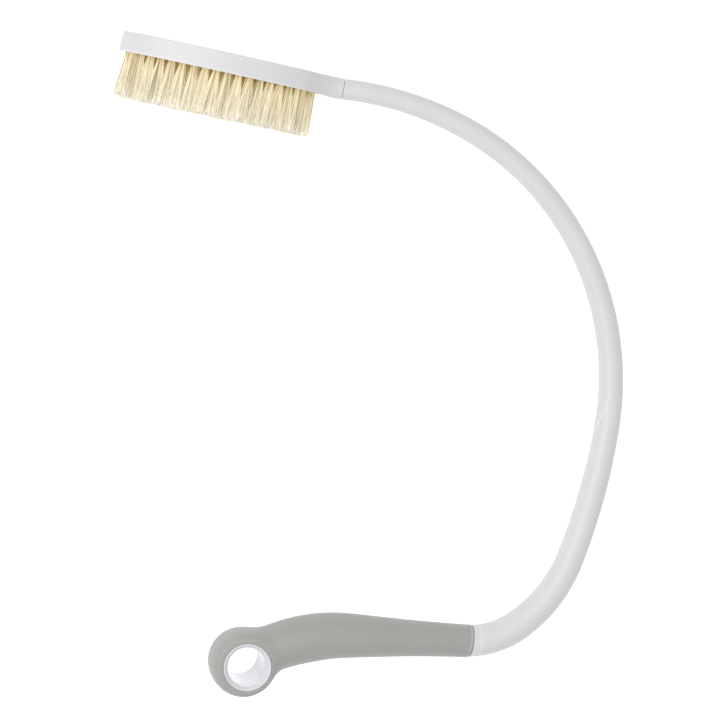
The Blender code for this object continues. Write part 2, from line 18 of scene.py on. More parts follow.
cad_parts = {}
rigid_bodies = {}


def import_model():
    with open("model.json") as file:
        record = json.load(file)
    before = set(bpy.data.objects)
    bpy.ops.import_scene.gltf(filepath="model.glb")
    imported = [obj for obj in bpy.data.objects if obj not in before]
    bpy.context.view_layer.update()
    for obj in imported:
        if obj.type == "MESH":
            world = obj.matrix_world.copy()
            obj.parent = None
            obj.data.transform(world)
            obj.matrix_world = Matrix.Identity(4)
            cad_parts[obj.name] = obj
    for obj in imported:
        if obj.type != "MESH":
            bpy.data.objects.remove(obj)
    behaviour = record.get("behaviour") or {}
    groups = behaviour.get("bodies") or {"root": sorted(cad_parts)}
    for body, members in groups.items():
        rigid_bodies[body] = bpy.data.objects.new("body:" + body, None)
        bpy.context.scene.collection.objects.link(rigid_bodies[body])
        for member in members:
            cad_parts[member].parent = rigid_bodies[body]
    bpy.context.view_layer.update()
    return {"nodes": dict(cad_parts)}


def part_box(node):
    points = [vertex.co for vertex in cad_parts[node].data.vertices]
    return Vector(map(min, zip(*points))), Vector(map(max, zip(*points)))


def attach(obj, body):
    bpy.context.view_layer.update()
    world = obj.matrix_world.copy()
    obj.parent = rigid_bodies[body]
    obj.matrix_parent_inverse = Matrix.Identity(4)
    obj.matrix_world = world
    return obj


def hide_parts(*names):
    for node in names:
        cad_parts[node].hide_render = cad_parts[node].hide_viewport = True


bl_info = {
    "name": "Bath brush looks",
    "version": (1, 0, 0),
    "blender": (4, 5, 0),
    "location": "3D View > Sidebar > Bath brush",
    "description": "Finished pieces, materials, light and camera of a long-handled bath brush",
    "category": "Object",
}

for startup_object in list(bpy.data.objects):
    bpy.data.objects.remove(startup_object, do_unlink=True)

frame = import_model()

# Handle centreline from the neck seam: radius and length of each bend, clockwise bends positive
NECK_HEADING = radians(-6.2)
SHOULDER_BENDS = ((0.2009, 0.0871), (0.1773, 0.2111), (0.3775, 0.0841))
ELBOW_BENDS = ((0.0867, 0.0520), (0.0536, 0.0370))
GRIP_BENDS = ((-5.5760, 0.0720), (-0.1212, 0.0682))
BENDS = SHOULDER_BENDS + ELBOW_BENDS + GRIP_BENDS
RING_AT = sum(length for _, length in BENDS)

# Tube and collar
TUBE_LENGTH = 0.4629
TUBE_WALL = 0.0021
SEAM_GAP = 0.0002
COLLAR_GAP = 0.00003
NECK_GAP = 0.00042
NECK_SLANT = 0.19
NECK_SHOULDER = (0.0051, 0.00028)
CLEARANCE = 0.0003
OVERLAP = 0.0020
COLLAR_LENGTH = 0.0042
GRIP_START = TUBE_LENGTH + COLLAR_LENGTH + SEAM_GAP
TUBE_STATIONS = (0.002, 0.020, 0.044, 0.068, 0.090, 0.120, 0.140, 0.170, 0.200, 0.236, 0.266, 0.290)
TUBE_STATIONS += (0.320, 0.350, 0.374, 0.398, 0.410, 0.428, 0.446, 0.458)
TUBE_HALF_WIDTHS = (6.26, 6.26, 6.35, 6.59, 6.77, 6.77, 6.80, 7.01, 7.13, 7.43, 7.52, 7.72)
TUBE_HALF_WIDTHS += (7.96, 8.26, 8.45, 8.82, 9.10, 9.45, 9.62, 9.71)
GRIP_STATIONS = (0.464, 0.476, 0.488, 0.500, 0.512, 0.524, 0.536, 0.548, 0.560, 0.572, 0.584, 0.600)
GRIP_HALF_WIDTHS = (9.97, 10.13, 10.49, 10.90, 11.50, 12.28, 13.06, 13.79, 14.36, 14.64, 14.42, 13.90)

# Socket in the neck end of the tube, and the spigot and seal in it
SEAM_HEADING = radians(-10.5)
SOCKET_RADIUS = 0.0043
SPIGOT_LENGTH = 0.0160
SPIGOT_CHAMFER = 0.0010
SEAL_SECTION = 0.0007
SEAL_SQUEEZE_GAP = 0.00015
SEAL_AT = SPIGOT_LENGTH - 0.0055
KEY_WIDTH = 0.0016
KEY_HEIGHT = 0.0009
KEY_LENGTH = 0.0050

# Head: X runs from the seam to the tip of the plate, Y out of the brush's plane, Z to the plate's back
HEAD_HEADING = radians(-12.4)
NECK_RADIUS = 0.0063
NECK_LENGTH = 0.0114
NECK_FLARE_LENGTH = NECK_LENGTH + 0.0146
NECK_SWELL_LENGTH = NECK_LENGTH + 0.0106
BULGE_ENDS = (0.0078, 0.0128)
PLATE_HALF_LENGTH = 0.0613
PLATE_HALF_WIDTH = 0.0288
PLATE_THICKNESS = 0.0117
PLATE_BACK = PLATE_THICKNESS / 2
PLATE_MIDDLE = NECK_LENGTH + PLATE_HALF_LENGTH
PLATE_DRAFT = radians(3.0)
SHELL_WALL = 0.0020
SHELL_ROOF = 0.0022
BACKING_FACE = -PLATE_BACK + 0.0004
BACKING_THICKNESS = 0.0012
CARRIER_FACE = BACKING_FACE + BACKING_THICKNESS + SEAM_GAP
CARRIER_BACK = CARRIER_FACE + 0.0036
POST_RADIUS = 0.0022
POST_SPACING = 0.0340

# Tufts
ROW_INSET = 0.0026
ROW_NAMES = ("outer", "second", "third", "centre")
TUFT_PITCH = 0.00661
ROUNDER = 1.176
TUFT_HOLE_RADIUS = 0.0020
TIP_SHIFT = 0.0006
OUTER_ROW_PULL = 0.0013
FIELD_SHIFT = 0.0003
SUNFLOWER_TURN = 2.39996

# Hanging ring
RING_RADIUS = 0.0203
RING_HALF_DEPTH = 0.0138
RING_LIP = 0.0158
LINER_RADIUS = 0.0145
LINER_BORE = 0.0112
LINER_HALF_DEPTH = 0.0140
LINER_CONE_DEPTH = 0.0032
LINER_BACK_FLARE = 0.0010
LINER_ROUNDING = 0.0004
LINER_LAND = 0.0008
HOLE_SHIFT = Vector((0.0003, 0.0007, 0.0))
HOLE_SLANT = (0.045, -0.071)

# Camera, as the photograph was taken: degrees to the left and above, distance, and the point at the middle of it
CAMERA_LEFT = radians(12.3)
CAMERA_ABOVE = radians(7.5)
CAMERA_DISTANCE = 1.5
SENSOR_WIDTH = 36.0
CAMERA_LENS = 2500 / 728 * SENSOR_WIDTH
LOOKED_AT = Vector((0.01265, -0.1640, 0.0))

# How the brush leans as it lies, about Y and then X, and how the parting at the collar leans
LYING_LEANS = (radians(2.414), radians(2.061))
PARTING_LEAN = -0.114

# Tube's ridge by distance along it: degrees from the near face, share of its height, and the painted highlight on its
# crest
RIDGE_STRETCH = (0.266, 0.392)
RIDGE_COURSE = ((0.2698, 0.2786, 0.2897, 0.3020, 0.330, 0.400), (0, 21, 50, 83, 77, 76))
RIDGE_HEIGHTS = ((0.2753, 0.2793, 0.350, 0.385), (0.0, 1.0, 1.0, 0.0))
RIDGE_HIGHLIGHT = ((0.2768, 0.2790, 0.306, 0.314, 0.372), (0.0, 2.6, 3.2, 1.8, 0.0))
RIDGE_HALF_ANGLE = 0.085
RIDGE_CREST = 0.0005

# Ends of the tube and the grip, the core's room in them, and the painted highlight line near each: place, width and
# strength
TUBE_SIDES = 112
TUBE_END_STEPS = (22, 20, 18, 17, 16, 15, 14, 13, 12, 10, 8, 5, 3, 2, 1.2, 0.5, 0)
TUBE_LIP_AT = 0.0006
TUBE_LIP_WIDTH = 0.00025
TUBE_LIP_HEIGHT = 0.00006
TUBE_HIGHLIGHT_LINE = (TUBE_LENGTH - TUBE_LIP_AT, 0.00035, 3.0)
SOCKET_CHAMFER = 0.0004
COLLAR_RADIUS = 0.00978
COLLAR_EDGE = (0.00055, 0.0005)
CORE_PLUG_ROOM = 0.00765
CORE_ROOM = 0.0065
GRIP_SIDES = 128
GRIP_EDGE_DROP = 0.0008
GRIP_HIGHLIGHT_LINE = (GRIP_START + 0.00145, 0.00045, 8.0)
HIGHLIGHT_LINE_REACH = 0.02
RUBBED_REACH = 0.0009
# Strength of the painted highlight along the head plate's lower rim
RIM_HIGHLIGHT = 1.6
SHARP_ANGLE = radians(35.0)
GRIP_EDGE_STEPS = (0.0, 1.5, 3.0, 4.5, 5.1, 5.4, 5.8, 6.3, 6.9, 7.6, 8.5, 9.5, 11.0, 13.0, 16.0)

# Head's loft: steps along the flare and the oval, the plate's rounded edge, and the neck's lip on the bristles' side
FLARE_STEPS = 44
OVAL_STEPS = 96
PLATE_EDGE = 0.00045
ROUNDED_FROM = 60.0
ROUNDED_SPAN = 27.0
NECK_LIP_AT = 0.0055
NECK_LIP_HEIGHT = 0.0002

# Fibres: the oval that their tips are trimmed to, and the glow by share of their length, painted light through the
# fibres; the inner rows' darker glow is painted shade
TIP_FIELD = (0.0590, 0.0275)
TIP_GLOW = (1.0, 0.93, 0.80)
OUTER_GLOW = ((0.0, (0.74, 0.65, 0.44)), (0.15, (0.62, 0.55, 0.36)), (0.5, (0.54, 0.47, 0.31)))
OUTER_GLOW += ((0.8, (0.56, 0.50, 0.37)), (1.0, TIP_GLOW))
INNER_SHADED_GLOW = ((0.0, (0.25, 0.18, 0.05)), (0.15, (0.20, 0.15, 0.05)), (0.33, (0.22, 0.17, 0.07)))
INNER_SHADED_GLOW += ((0.6, (0.38, 0.32, 0.20)), (0.8, (0.50, 0.44, 0.32)), (1.0, TIP_GLOW))


def way(heading):
    return Vector((cos(heading), sin(heading), 0.0))


def handle_point(distance):
    """Place and heading on the handle's centreline, a distance along it from the neck seam."""
    place = Vector((0.0, 0.0, 0.0))
    heading = NECK_HEADING
    left = float(distance)
    for radius, length in BENDS:
        run = min(left, length)
        if run <= 0.0:
            break
        turned = heading - run / radius
        across = sin(heading) - sin(turned)
        up = cos(turned) - cos(heading)
        place += radius * Vector((across, up, 0.0))
        heading = turned
        left -= run
    return place + left * way(heading), heading


def handle_axes(distance):
    """Place on the handle's centreline, the way along it there, and the way to the hook's inner side."""
    place, heading = handle_point(distance)
    level, up = cos(heading), sin(heading)
    return np.array(place), np.array((level, up, 0.0)), np.array((up, -level, 0.0))


def frame_of(x, y, z):
    """Rotation with the given axes."""
    return Matrix((x, y, z)).transposed().to_4x4()


def hole_frame():
    """The ring's hole slants a few degrees through the ring, and its mouths stay level with the ring's faces."""
    slanted = Matrix.Identity(4)
    slanted[0][2], slanted[1][2] = HOLE_SLANT
    return Matrix.Translation(RING_PLACE + HOLE_SHIFT) @ slanted


def lying_frame():
    """Where the brush lies, found from the way it leans and the place of the ring's liner."""
    lean = Matrix.Rotation(LYING_LEANS[0], 4, "Y") @ Matrix.Rotation(LYING_LEANS[1], 4, "X")
    low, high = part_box("hanging_ring_liner")
    return Matrix.Translation((low + high) / 2 - lean @ RING_PLACE) @ lean


# OUT is out of the brush's plane. The seam's Z axis runs into the tube and its Y axis is OUT
OUT = Vector((0.0, 0.0, 1.0))
OUTWARD = np.array(OUT)
RING_PLACE, RING_HEADING = handle_point(RING_AT)
LYING = lying_frame()
HEAD = frame_of(-way(HEAD_HEADING), OUT, -way(HEAD_HEADING).cross(OUT))
SEAM = frame_of(OUT.cross(way(SEAM_HEADING)), OUT, way(SEAM_HEADING))
SLANTED_SEAM = SEAM @ Matrix.Rotation(-atan(NECK_SLANT), 4, "X")
RING = Matrix.Translation(RING_PLACE) @ Matrix.Rotation(RING_HEADING, 4, "Z")
HOLE = hole_frame()


def length_property(name, description, default, low, high, precision=4):
    return FloatProperty(
        name=name,
        description=description,
        default=default,
        min=low,
        max=high,
        precision=precision,
        subtype="DISTANCE",
        unit="LENGTH",
    )


def colour_property(name, description, default):
    return FloatVectorProperty(
        name=name, description=description, default=default, min=0.0, max=1.0, subtype="COLOR"
    )


class BathBrushSizes(PropertyGroup):
    """Sizes of the finished pieces that the CAD frame leaves open."""

    fibre_count: IntProperty(
        name="Fibres per tuft",
        description="How many bristle fibres each drilled hole holds",
        default=125,
        min=10,
        max=220,
    )
    fibre_radius: length_property(
        "Fibre radius", "Half the thickness of one fibre at its root", 0.00022, 0.00005, 0.0005, 5
    )
    tuft_spread: length_property(
        "Tuft spread", "How far a tuft opens at its tips, from its middle", 0.0056, 0.002, 0.009
    )
    bristle_length: length_property(
        "Bristle length", "From the plate's rim to the trimmed tips, at the middle of the head", 0.0258, 0.01, 0.035
    )
    raggedness: length_property("Raggedness", "How unevenly the tips are trimmed", 0.0017, 0.0, 0.004)
    ring_blend: length_property(
        "Ring blend", "Width of the soft valley between the grip and the hanging ring", 0.0060, 0.0005, 0.01
    )
    parting_height: length_property(
        "Parting ridge", "Height of the fine moulded ridge on the tube", 0.00022, 0.0, 0.001, 5
    )


class BathBrushColours(PropertyGroup):
    """Colours of the finishes."""

    white: colour_property("White plastic", "Tube, head, collar and ring liner", (0.80, 0.80, 0.825))
    grip: colour_property("Soft grip", "Grey soft grip", (0.42, 0.42, 0.405))
    bristle: colour_property("Bristle", "Cream of the bristle fibres", (1.0, 0.945, 0.785))
    # Golden brown near the roots is painted shade of the deep gaps between the tufts.
    bristle_root: colour_property(
        "Bristle root", "Golden brown of the fibres near their roots", (0.95, 0.81, 0.48)
    )
    backing: colour_property("Backing", "Drilled backing and the carrier behind it", (0.74, 0.72, 0.66))
    seal: colour_property("Neck seal", "Rubber ring on the spigot", (0.10, 0.10, 0.11))


# ---------------------------------------------------------------- meshes


def mesh_from(name, points, faces):
    """Closed mesh with its faces turned outwards."""
    mesh = bpy.data.meshes.new(name)
    mesh.from_pydata([tuple(p) for p in points], [], [tuple(f) for f in faces])
    bm = bmesh.new()
    bm.from_mesh(mesh)
    bmesh.ops.remove_doubles(bm, verts=bm.verts, dist=1e-7)
    bmesh.ops.recalc_face_normals(bm, faces=bm.faces)
    bm.to_mesh(mesh)
    bm.free()
    return mesh


def carried(points, matrix):
    turned = np.array(matrix)
    return np.asarray(points) @ turned[:3, :3].T + turned[:3, 3]


def band_faces(rings, sides):
    """Quads between neighbouring rings of points."""
    faces = []
    for low in range(0, (rings - 1) * sides, sides):
        high = low + sides
        for side in range(sides):
            after = (side + 1) % sides
            faces.append((low + side, low + after, high + after, high + side))
    return faces


def capped_faces(rings, sides):
    last = (rings - 1) * sides
    return band_faces(rings, sides) + [tuple(range(sides)), tuple(range(last, last + sides))]


def parting_lean(distance):
    """How far a ring of the handle is pushed along it for each metre inwards: the parting at the collar leans."""
    near = (TUBE_LENGTH - 0.026, TUBE_LENGTH - 0.004, GRIP_START + 0.004, GRIP_START + 0.026)
    return float(np.interp(distance, near, (0.0, PARTING_LEAN, PARTING_LEAN, 0.0)))


def round_angles(steps):
    return 2 * pi * np.arange(steps) / steps


def swept_mesh(name, distances, radii, sides, bump=None):
    """Round bar along the handle. bump gives extra radius at a distance and an angle from the near face."""
    points = []
    angles = round_angles(sides)
    for distance, radius in zip(distances, radii):
        place, along, inward = handle_axes(distance)
        reach = radius + (bump(distance, angles) if bump else 0.0) * np.ones(sides)
        pushed = parting_lean(distance) * reach * np.sin(angles)
        ring = np.outer(reach * np.cos(angles), OUTWARD) + np.outer(reach * np.sin(angles), inward)
        points.append(place + ring + np.outer(pushed, along))
    return mesh_from(name, np.concatenate(points), capped_faces(len(distances), sides))


def turned_mesh(name, profile, steps, matrix):
    """Solid or ring turned about a frame's Z axis, from (radius, height) points."""
    solid = profile[0][0] == 0.0 and profile[-1][0] == 0.0
    rim = profile[1:-1] if solid else profile
    x, y = np.cos(round_angles(steps)), np.sin(round_angles(steps))
    points = [np.stack((radius * x, radius * y, np.full(steps, height)), axis=1) for radius, height in rim]
    faces = capped_faces(len(rim), steps)
    if not solid:
        last = (len(rim) - 1) * steps
        faces[-2:] = [(last + i, last + (i + 1) % steps, (i + 1) % steps, i) for i in range(steps)]
    return mesh_from(name, carried(np.concatenate(points), matrix), faces)


def oval_mesh(name, half_length, half_width, bottom, top, steps=160):
    """Upright oval block about the middle of the head plate, in the head's frame."""
    x = PLATE_MIDDLE + half_length * np.cos(round_angles(steps))
    y = half_width * np.sin(round_angles(steps))
    rings = [np.stack((x, y, np.full(steps, z)), axis=1) for z in (bottom, top)]
    return mesh_from(name, np.concatenate(rings), capped_faces(2, steps))


def box_mesh(name, low, high, matrix):
    corners = [(x, y, z) for x in (low[0], high[0]) for y in (low[1], high[1]) for z in (low[2], high[2])]
    faces = [(0, 1, 3, 2), (4, 6, 7, 5), (0, 4, 5, 1), (2, 3, 7, 6), (0, 2, 6, 4), (1, 5, 7, 3)]
    return mesh_from(name, carried(corners, matrix), faces)


def add_object(name, data):
    added = bpy.data.objects.new(name, data)
    bpy.context.scene.collection.objects.link(added)
    return added


def baked_mesh(made):
    """The mesh that an object's modifiers make of it. The object goes."""
    bpy.context.view_layer.update()
    graph = bpy.context.evaluated_depsgraph_get()
    mesh = bpy.data.meshes.new_from_object(made.evaluated_get(graph))
    bpy.data.objects.remove(made, do_unlink=True)
    return mesh


def cut_mesh(name, body, cuts, joined=()):
    """The body less the cuts, then with the joined meshes, as a plain mesh."""
    made = add_object(name, body)
    tools = []
    for mesh, operation in [(cut, "DIFFERENCE") for cut in cuts] + [(part, "UNION") for part in joined]:
        tools.append(add_object(mesh.name, mesh))
        modifier = made.modifiers.new(mesh.name, "BOOLEAN")
        modifier.operation = operation
        modifier.solver = "EXACT"
        modifier.object = tools[-1]
    result = baked_mesh(made)
    for tool in tools:
        bpy.data.objects.remove(tool, do_unlink=True)
    return result


def mark_edges(mesh):
    """The mesh, with how close each point is to a crisp outer edge stored for the rubbed, paler finish there. Painted
    highlights are stored with it later.
    """
    bm = bmesh.new()
    bm.from_mesh(mesh)
    wear_highlight_mask = np.zeros(len(bm.verts), np.float32)
    bm.verts.ensure_lookup_table()
    for edge in bm.edges:
        if len(edge.link_faces) == 2 and edge.is_convex:
            bend = edge.calc_face_angle(0.0)
            length = max(edge.calc_length(), 1e-6)
            strength = min(1.0, bend * RUBBED_REACH / max(min(length, RUBBED_REACH), 1e-5) / 1.2)
            for vert in edge.verts:
                wear_highlight_mask[vert.index] = max(wear_highlight_mask[vert.index], strength)
    bm.free()
    mesh.attributes.new("edge_wear", "FLOAT", "POINT").data.foreach_set("value", wear_highlight_mask)
    return mesh


def mesh_points(mesh):
    points = np.empty(len(mesh.vertices) * 3, np.float32)
    mesh.vertices.foreach_get("co", points)
    return points.reshape(-1, 3)


# Raises the stored rubbed-edge wear, and the painted highlights kept with it, to at least the given values.
def raise_wear(mesh, least):
    wear_highlight_mask = np.empty(len(mesh.vertices), np.float32)
    mesh.attributes["edge_wear"].data.foreach_get("value", wear_highlight_mask)
    mesh.attributes["edge_wear"].data.foreach_set("value", np.maximum(wear_highlight_mask, least).astype(np.float32))


def mark_line(mesh, distance, width, strength):
    """Stores a painted highlight line round the handle, on the edge at a mould's parting."""
    place, along, inward = handle_axes(distance)
    apart = mesh_points(mesh) - place
    off_line = apart @ along - parting_lean(distance) * (apart @ inward)
    near = np.linalg.norm(apart, axis=1) < HIGHLIGHT_LINE_REACH
    raise_wear(mesh, strength * np.exp(-((off_line / width) ** 2)) * near)


def add_piece(name, mesh, body, node):
    """Adds a finished mesh that lies in its place, on its body and in place of its CAD node."""
    piece = add_object(name, mesh)
    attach(piece, body)
    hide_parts(node)


def finish_piece(node, mesh, body, material, matrix=LYING):
    """Lays a mesh in its place, gives it its finish, smooth but for its sharp edges, and adds it as a piece."""
    mesh.transform(matrix)
    mesh.materials.clear()
    mesh.materials.append(material)
    mesh.shade_smooth()
    mesh.set_sharp_from_angle(angle=SHARP_ANGLE)
    add_piece(f"{node}_finished", mesh, body, node)


# ---------------------------------------------------------------- materials


def feed(tree, node, inputs):
    """Sets inputs of a node, each to a value or to the socket that is linked to it."""
    for key, value in inputs.items():
        if isinstance(value, bpy.types.NodeSocket):
            tree.links.new(value, node.inputs[key])
        else:
            node.inputs[key].default_value = value


def add_node(tree, kind, inputs=None, **settings):
    """One node with its settings and inputs."""
    node = tree.nodes.new(kind)
    for key, value in settings.items():
        setattr(node, key, value)
    feed(tree, node, inputs or {})
    return node


def maths(tree, operation, *values, **settings):
    """What a math node makes of its values."""
    return add_node(tree, "ShaderNodeMath", dict(enumerate(values)), operation=operation, **settings).outputs[0]


def noise(tree, place, scale, detail, roughness=0.5):
    inputs = {"Vector": place, "Scale": scale, "Detail": detail, "Roughness": roughness}
    return add_node(tree, "ShaderNodeTexNoise", inputs).outputs["Fac"]


def toned(tree, colour, value, saturation=1.0):
    inputs = {"Saturation": saturation, "Value": value, "Color": colour}
    return add_node(tree, "ShaderNodeHueSaturation", inputs).outputs["Color"]


def between(tree, low, high, share):
    return add_node(tree, "ShaderNodeMapRange", {"To Min": low, "To Max": high, "Value": share}).outputs["Result"]


def stored(tree, name):
    """A value that is stored on the mesh."""
    return add_node(tree, "ShaderNodeAttribute", attribute_name=name).outputs["Fac"]


def object_place(tree):
    return add_node(tree, "ShaderNodeTexCoord").outputs["Object"]


def colour_ramp(tree, factor, stops):
    """Colour by a factor, from (position, colour) stops."""
    node = add_node(tree, "ShaderNodeValToRGB", {"Fac": factor})
    elements = node.color_ramp.elements
    elements.remove(elements[0])
    elements[0].position = stops[0][0]
    elements[0].color = (*stops[0][1], 1.0)
    for position, colour in stops[1:]:
        elements.new(position).color = (*colour, 1.0)
    return node.outputs["Color"]


def shader_tree(name):
    material = bpy.data.materials.new(name)
    material.use_nodes = True
    tree = material.node_tree
    return material, tree, tree.nodes["Principled BSDF"]


def new_group(name, inputs, outputs):
    """Node group with its inputs by default value. Gives it with what it is given, a place, and its end."""
    group = bpy.data.node_groups.new(name, "ShaderNodeTree")
    for key, default in inputs.items():
        kind = "NodeSocketColor" if isinstance(default, tuple) else "NodeSocketFloat"
        group.interface.new_socket(key, in_out="INPUT", socket_type=kind).default_value = default
    for key, kind in outputs.items():
        group.interface.new_socket(key, in_out="OUTPUT", socket_type=kind)
    given = group.nodes.new("NodeGroupInput").outputs
    return group, given, object_place(group), group.nodes.new("NodeGroupOutput")


def tone_drift(name):
    """Colour that drifts a little, in broad soft clouds and in small mottles, as moulded plastic does."""
    inputs = {"Colour": (0.8, 0.8, 0.8, 1.0), "Cloud Scale": 30.0, "Mottle Scale": 400.0, "Amount": 0.04}
    group, given, place, end = new_group(name, inputs, {"Colour": "NodeSocketColor"})
    cloud = noise(group, place, given["Cloud Scale"], 3.0)
    mottle = noise(group, place, given["Mottle Scale"], 4.0, 0.6)
    centred = maths(group, "SUBTRACT", maths(group, "ADD", cloud, mottle), 1.0)
    value = maths(group, "ADD", maths(group, "MULTIPLY", centred, given["Amount"]), 1.0)
    feed(group, end, {"Colour": toned(group, given["Colour"], value)})
    return group


def surface_grain(name):
    """Height of a fine moulded grain over a faint ripple."""
    inputs = {"Grain Scale": 4000.0, "Grain Depth": 0.5, "Ripple Scale": 120.0, "Ripple Depth": 0.5}
    group, given, place, end = new_group(name, inputs, {"Height": "NodeSocketFloat"})
    fine = maths(group, "MULTIPLY", noise(group, place, given["Grain Scale"], 2.0, 0.55), given["Grain Depth"])
    ripple = noise(group, place, given["Ripple Scale"], 2.0, 0.4)
    feed(group, end, {"Height": maths(group, "MULTIPLY_ADD", ripple, given["Ripple Depth"], fine)})
    return group


def edge_wear(name):
    """Mask of lightly rubbed edges and of the painted highlights stored with them, broken up by noise, and a roughness
    that follows it.
    """
    inputs = {"Strength": 0.5, "Roughness": 0.3, "Roughness Spread": 0.1, "Patch Scale": 220.0}
    outputs = {"Mask": "NodeSocketFloat", "Roughness": "NodeSocketFloat"}
    group, given, place, end = new_group(name, inputs, outputs)
    patch = noise(group, place, given["Patch Scale"], 4.0, 0.6)
    broken = maths(group, "MULTIPLY", stored(group, "edge_wear"), patch)
    mask = maths(group, "MULTIPLY", broken, given["Strength"], use_clamp=True)
    centred = maths(group, "SUBTRACT", patch, 0.5)
    spread = maths(group, "MULTIPLY_ADD", centred, given["Roughness Spread"], given["Roughness"])
    rough = maths(group, "MULTIPLY_ADD", mask, 0.25, spread, use_clamp=True)
    feed(group, end, {"Mask": mask, "Roughness": rough})
    return group


def group_outputs(tree, build, inputs):
    """Outputs of a node group in a tree. The group is built the first time that a material needs it."""
    name = build.__name__.replace("_", " ")
    group = bpy.data.node_groups.get(name) or build(name)
    return add_node(tree, "ShaderNodeGroup", inputs, node_tree=group).outputs


# Mouldings: colour; drift of cloud scale, mottle scale and amount; roughness and its spread; strength of the
# rubbed-edge wear and painted highlights, and its patch scale; grain scale and depth, ripple scale and depth; bump
# strength and distance
MOULDINGS = {
    "gloss white plastic": ("white", (28, 900, 0.035), (0.36, 0.1), (0.5, 240), (5200, 0.5, 90, 0.8), (0.1, 0.00006)),
    "polished liner plastic": (
        "white", (60, 900, 0.03), (0.08, 0.05), (0.4, 300), (5200, 0.4, 90, 0.6), (0.06, 0.00006)
    ),
    "grip core plastic": ("white", (40, 1200, 0.05), (0.5, 0.1), (0.2, 300), (3800, 0.8, 160, 0.6), (0.2, 0.00006)),
    "drilled backing": ("backing", (60, 1200, 0.08), (0.55, 0.12), (0.3, 300), (4200, 0.8, 200, 0.5), (0.25, 0.00006)),
    "soft grip rubber": ("grip", (45, 1500, 0.1), (0.46, 0.14), (0.35, 300), (3600, 1, 160, 0.5), (0.35, 0.00008)),
    "neck seal rubber": ("seal", (120, 2400, 0.12), (0.62, 0.12), (0.2, 500), (6000, 0.7, 400, 0.6), (0.3, 0.00005)),
}


def moulding(name):
    """Moulded plastic or rubber: drifting tone, paler rubbed edges and painted highlights, varied roughness and a fine
    grain.
    """
    if name in bpy.data.materials:
        return bpy.data.materials[name]
    colour_name, drift, roughness, wear, grain, bump = MOULDINGS[name]
    colour = getattr(bpy.context.scene.bath_brush_colours, colour_name)
    pale = [min(1.0, c * 1.25 + 0.03) for c in colour]
    material, tree, shader = shader_tree(name)
    drifting = dict(zip(("Cloud Scale", "Mottle Scale", "Amount"), drift))
    tone = group_outputs(tree, tone_drift, {"Colour": (*colour, 1.0), **drifting})
    wear_highlight_settings = dict(zip(("Roughness", "Roughness Spread", "Strength", "Patch Scale"), roughness + wear))
    wear_highlight_mask = group_outputs(tree, edge_wear, wear_highlight_settings)
    graining = dict(zip(("Grain Scale", "Grain Depth", "Ripple Scale", "Ripple Depth"), grain))
    height = group_outputs(tree, surface_grain, graining)["Height"]
    colours = {"Factor": wear_highlight_mask["Mask"], 6: tone["Colour"], 7: (*pale, 1.0)}
    mixed = add_node(tree, "ShaderNodeMix", colours, data_type="RGBA").outputs[2]
    relief = add_node(tree, "ShaderNodeBump", {"Strength": bump[0], "Distance": bump[1], "Height": height})
    feed(tree, shader, {"Base Color": mixed, "Roughness": wear_highlight_mask["Roughness"], "Normal": relief.outputs["Normal"]})
    return material


def liner_plastic():
    """Polished white plastic; the faint glow in its bore is painted light, standing for the light that comes in from
    the far side.
    """
    material = moulding("polished liner plastic")
    tree = material.node_tree
    glow = toned(tree, (0.96, 0.96, 1.0, 1.0), stored(tree, "bore_light"))
    feed(tree, tree.nodes["Principled BSDF"], {"Emission Color": glow, "Emission Strength": 0.12})
    return material


def soft_rubber():
    material = moulding("soft grip rubber")
    tree = material.node_tree
    feed(tree, tree.nodes["Principled BSDF"], {"Sheen Weight": 0.08, "Sheen Roughness": 0.5})
    return material


def bristle_hair(name, root_shade_tint, glow):
    """Fibre finish: cream towards the tips, each fibre a little different, and golden near the roots, which is painted
    shade of the deep gaps between the tufts.

    The faint glow, by share of the fibre's length, is painted light that stands for light coming through the fibres.
    The given colour factor makes the roots more golden; the inner rows' copy, more golden with a darker glow, is
    painted shade.
    """
    material, tree, shader = shader_tree(name)
    colours = bpy.context.scene.bath_brush_colours
    cream = tuple(colours.bristle)
    root = tuple(a * b for a, b in zip(colours.bristle_root, root_shade_tint))
    lower = tuple(0.35 * a + 0.65 * b for a, b in zip(root, cream))
    along, fibre = stored(tree, "along"), stored(tree, "fibre")
    # Darker, golden colour near the roots: painted shade of the gaps between the tufts.
    body = colour_ramp(tree, along, ((0.0, root), (0.22, lower), (0.62, cream)))
    tones = [(position, (tone,) * 3) for position, tone in ((0.0, 0.45), (0.26, 0.78), (1.0, 1.05))]
    depth = between(tree, 1.5, 0.82, fibre)
    scales = noise(tree, object_place(tree), 2600.0, 2.0)
    relief = add_node(tree, "ShaderNodeBump", {"Strength": 0.25, "Distance": 0.00004, "Height": scales})
    # The emission is painted light: a glow standing for light that comes through the fibres.
    inputs = {
        "Base Color": toned(tree, body, colour_ramp(tree, fibre, tones), depth),
        "Roughness": between(tree, 0.42, 0.62, fibre),
        "Normal": relief.outputs["Normal"],
        "Emission Color": toned(tree, colour_ramp(tree, along, glow), between(tree, 0.22, 1.78, fibre), depth),
        "Emission Strength": 0.33,
        "Sheen Weight": 0.2,
    }
    feed(tree, shader, inputs)
    return material


# ---------------------------------------------------------------- head shell


def eased(share):
    return share * share * (3.0 - 2.0 * share)


def fade(distance, start, end):
    """One before the start, falling smoothly to nothing at the end."""
    return 1.0 - eased(min(1.0, max(0.0, (distance - start) / (end - start))))


def shell_levels():
    """Levels of the loft in degrees: even steps round the neck, finer where the plate's edge is rounded."""
    upper = [10.0 * i for i in range(1, 7)] + [ROUNDED_FROM + ROUNDED_SPAN * i / 8 for i in range(1, 9)] + [88.3]
    return [-a for a in reversed(upper)] + [0.0] + upper


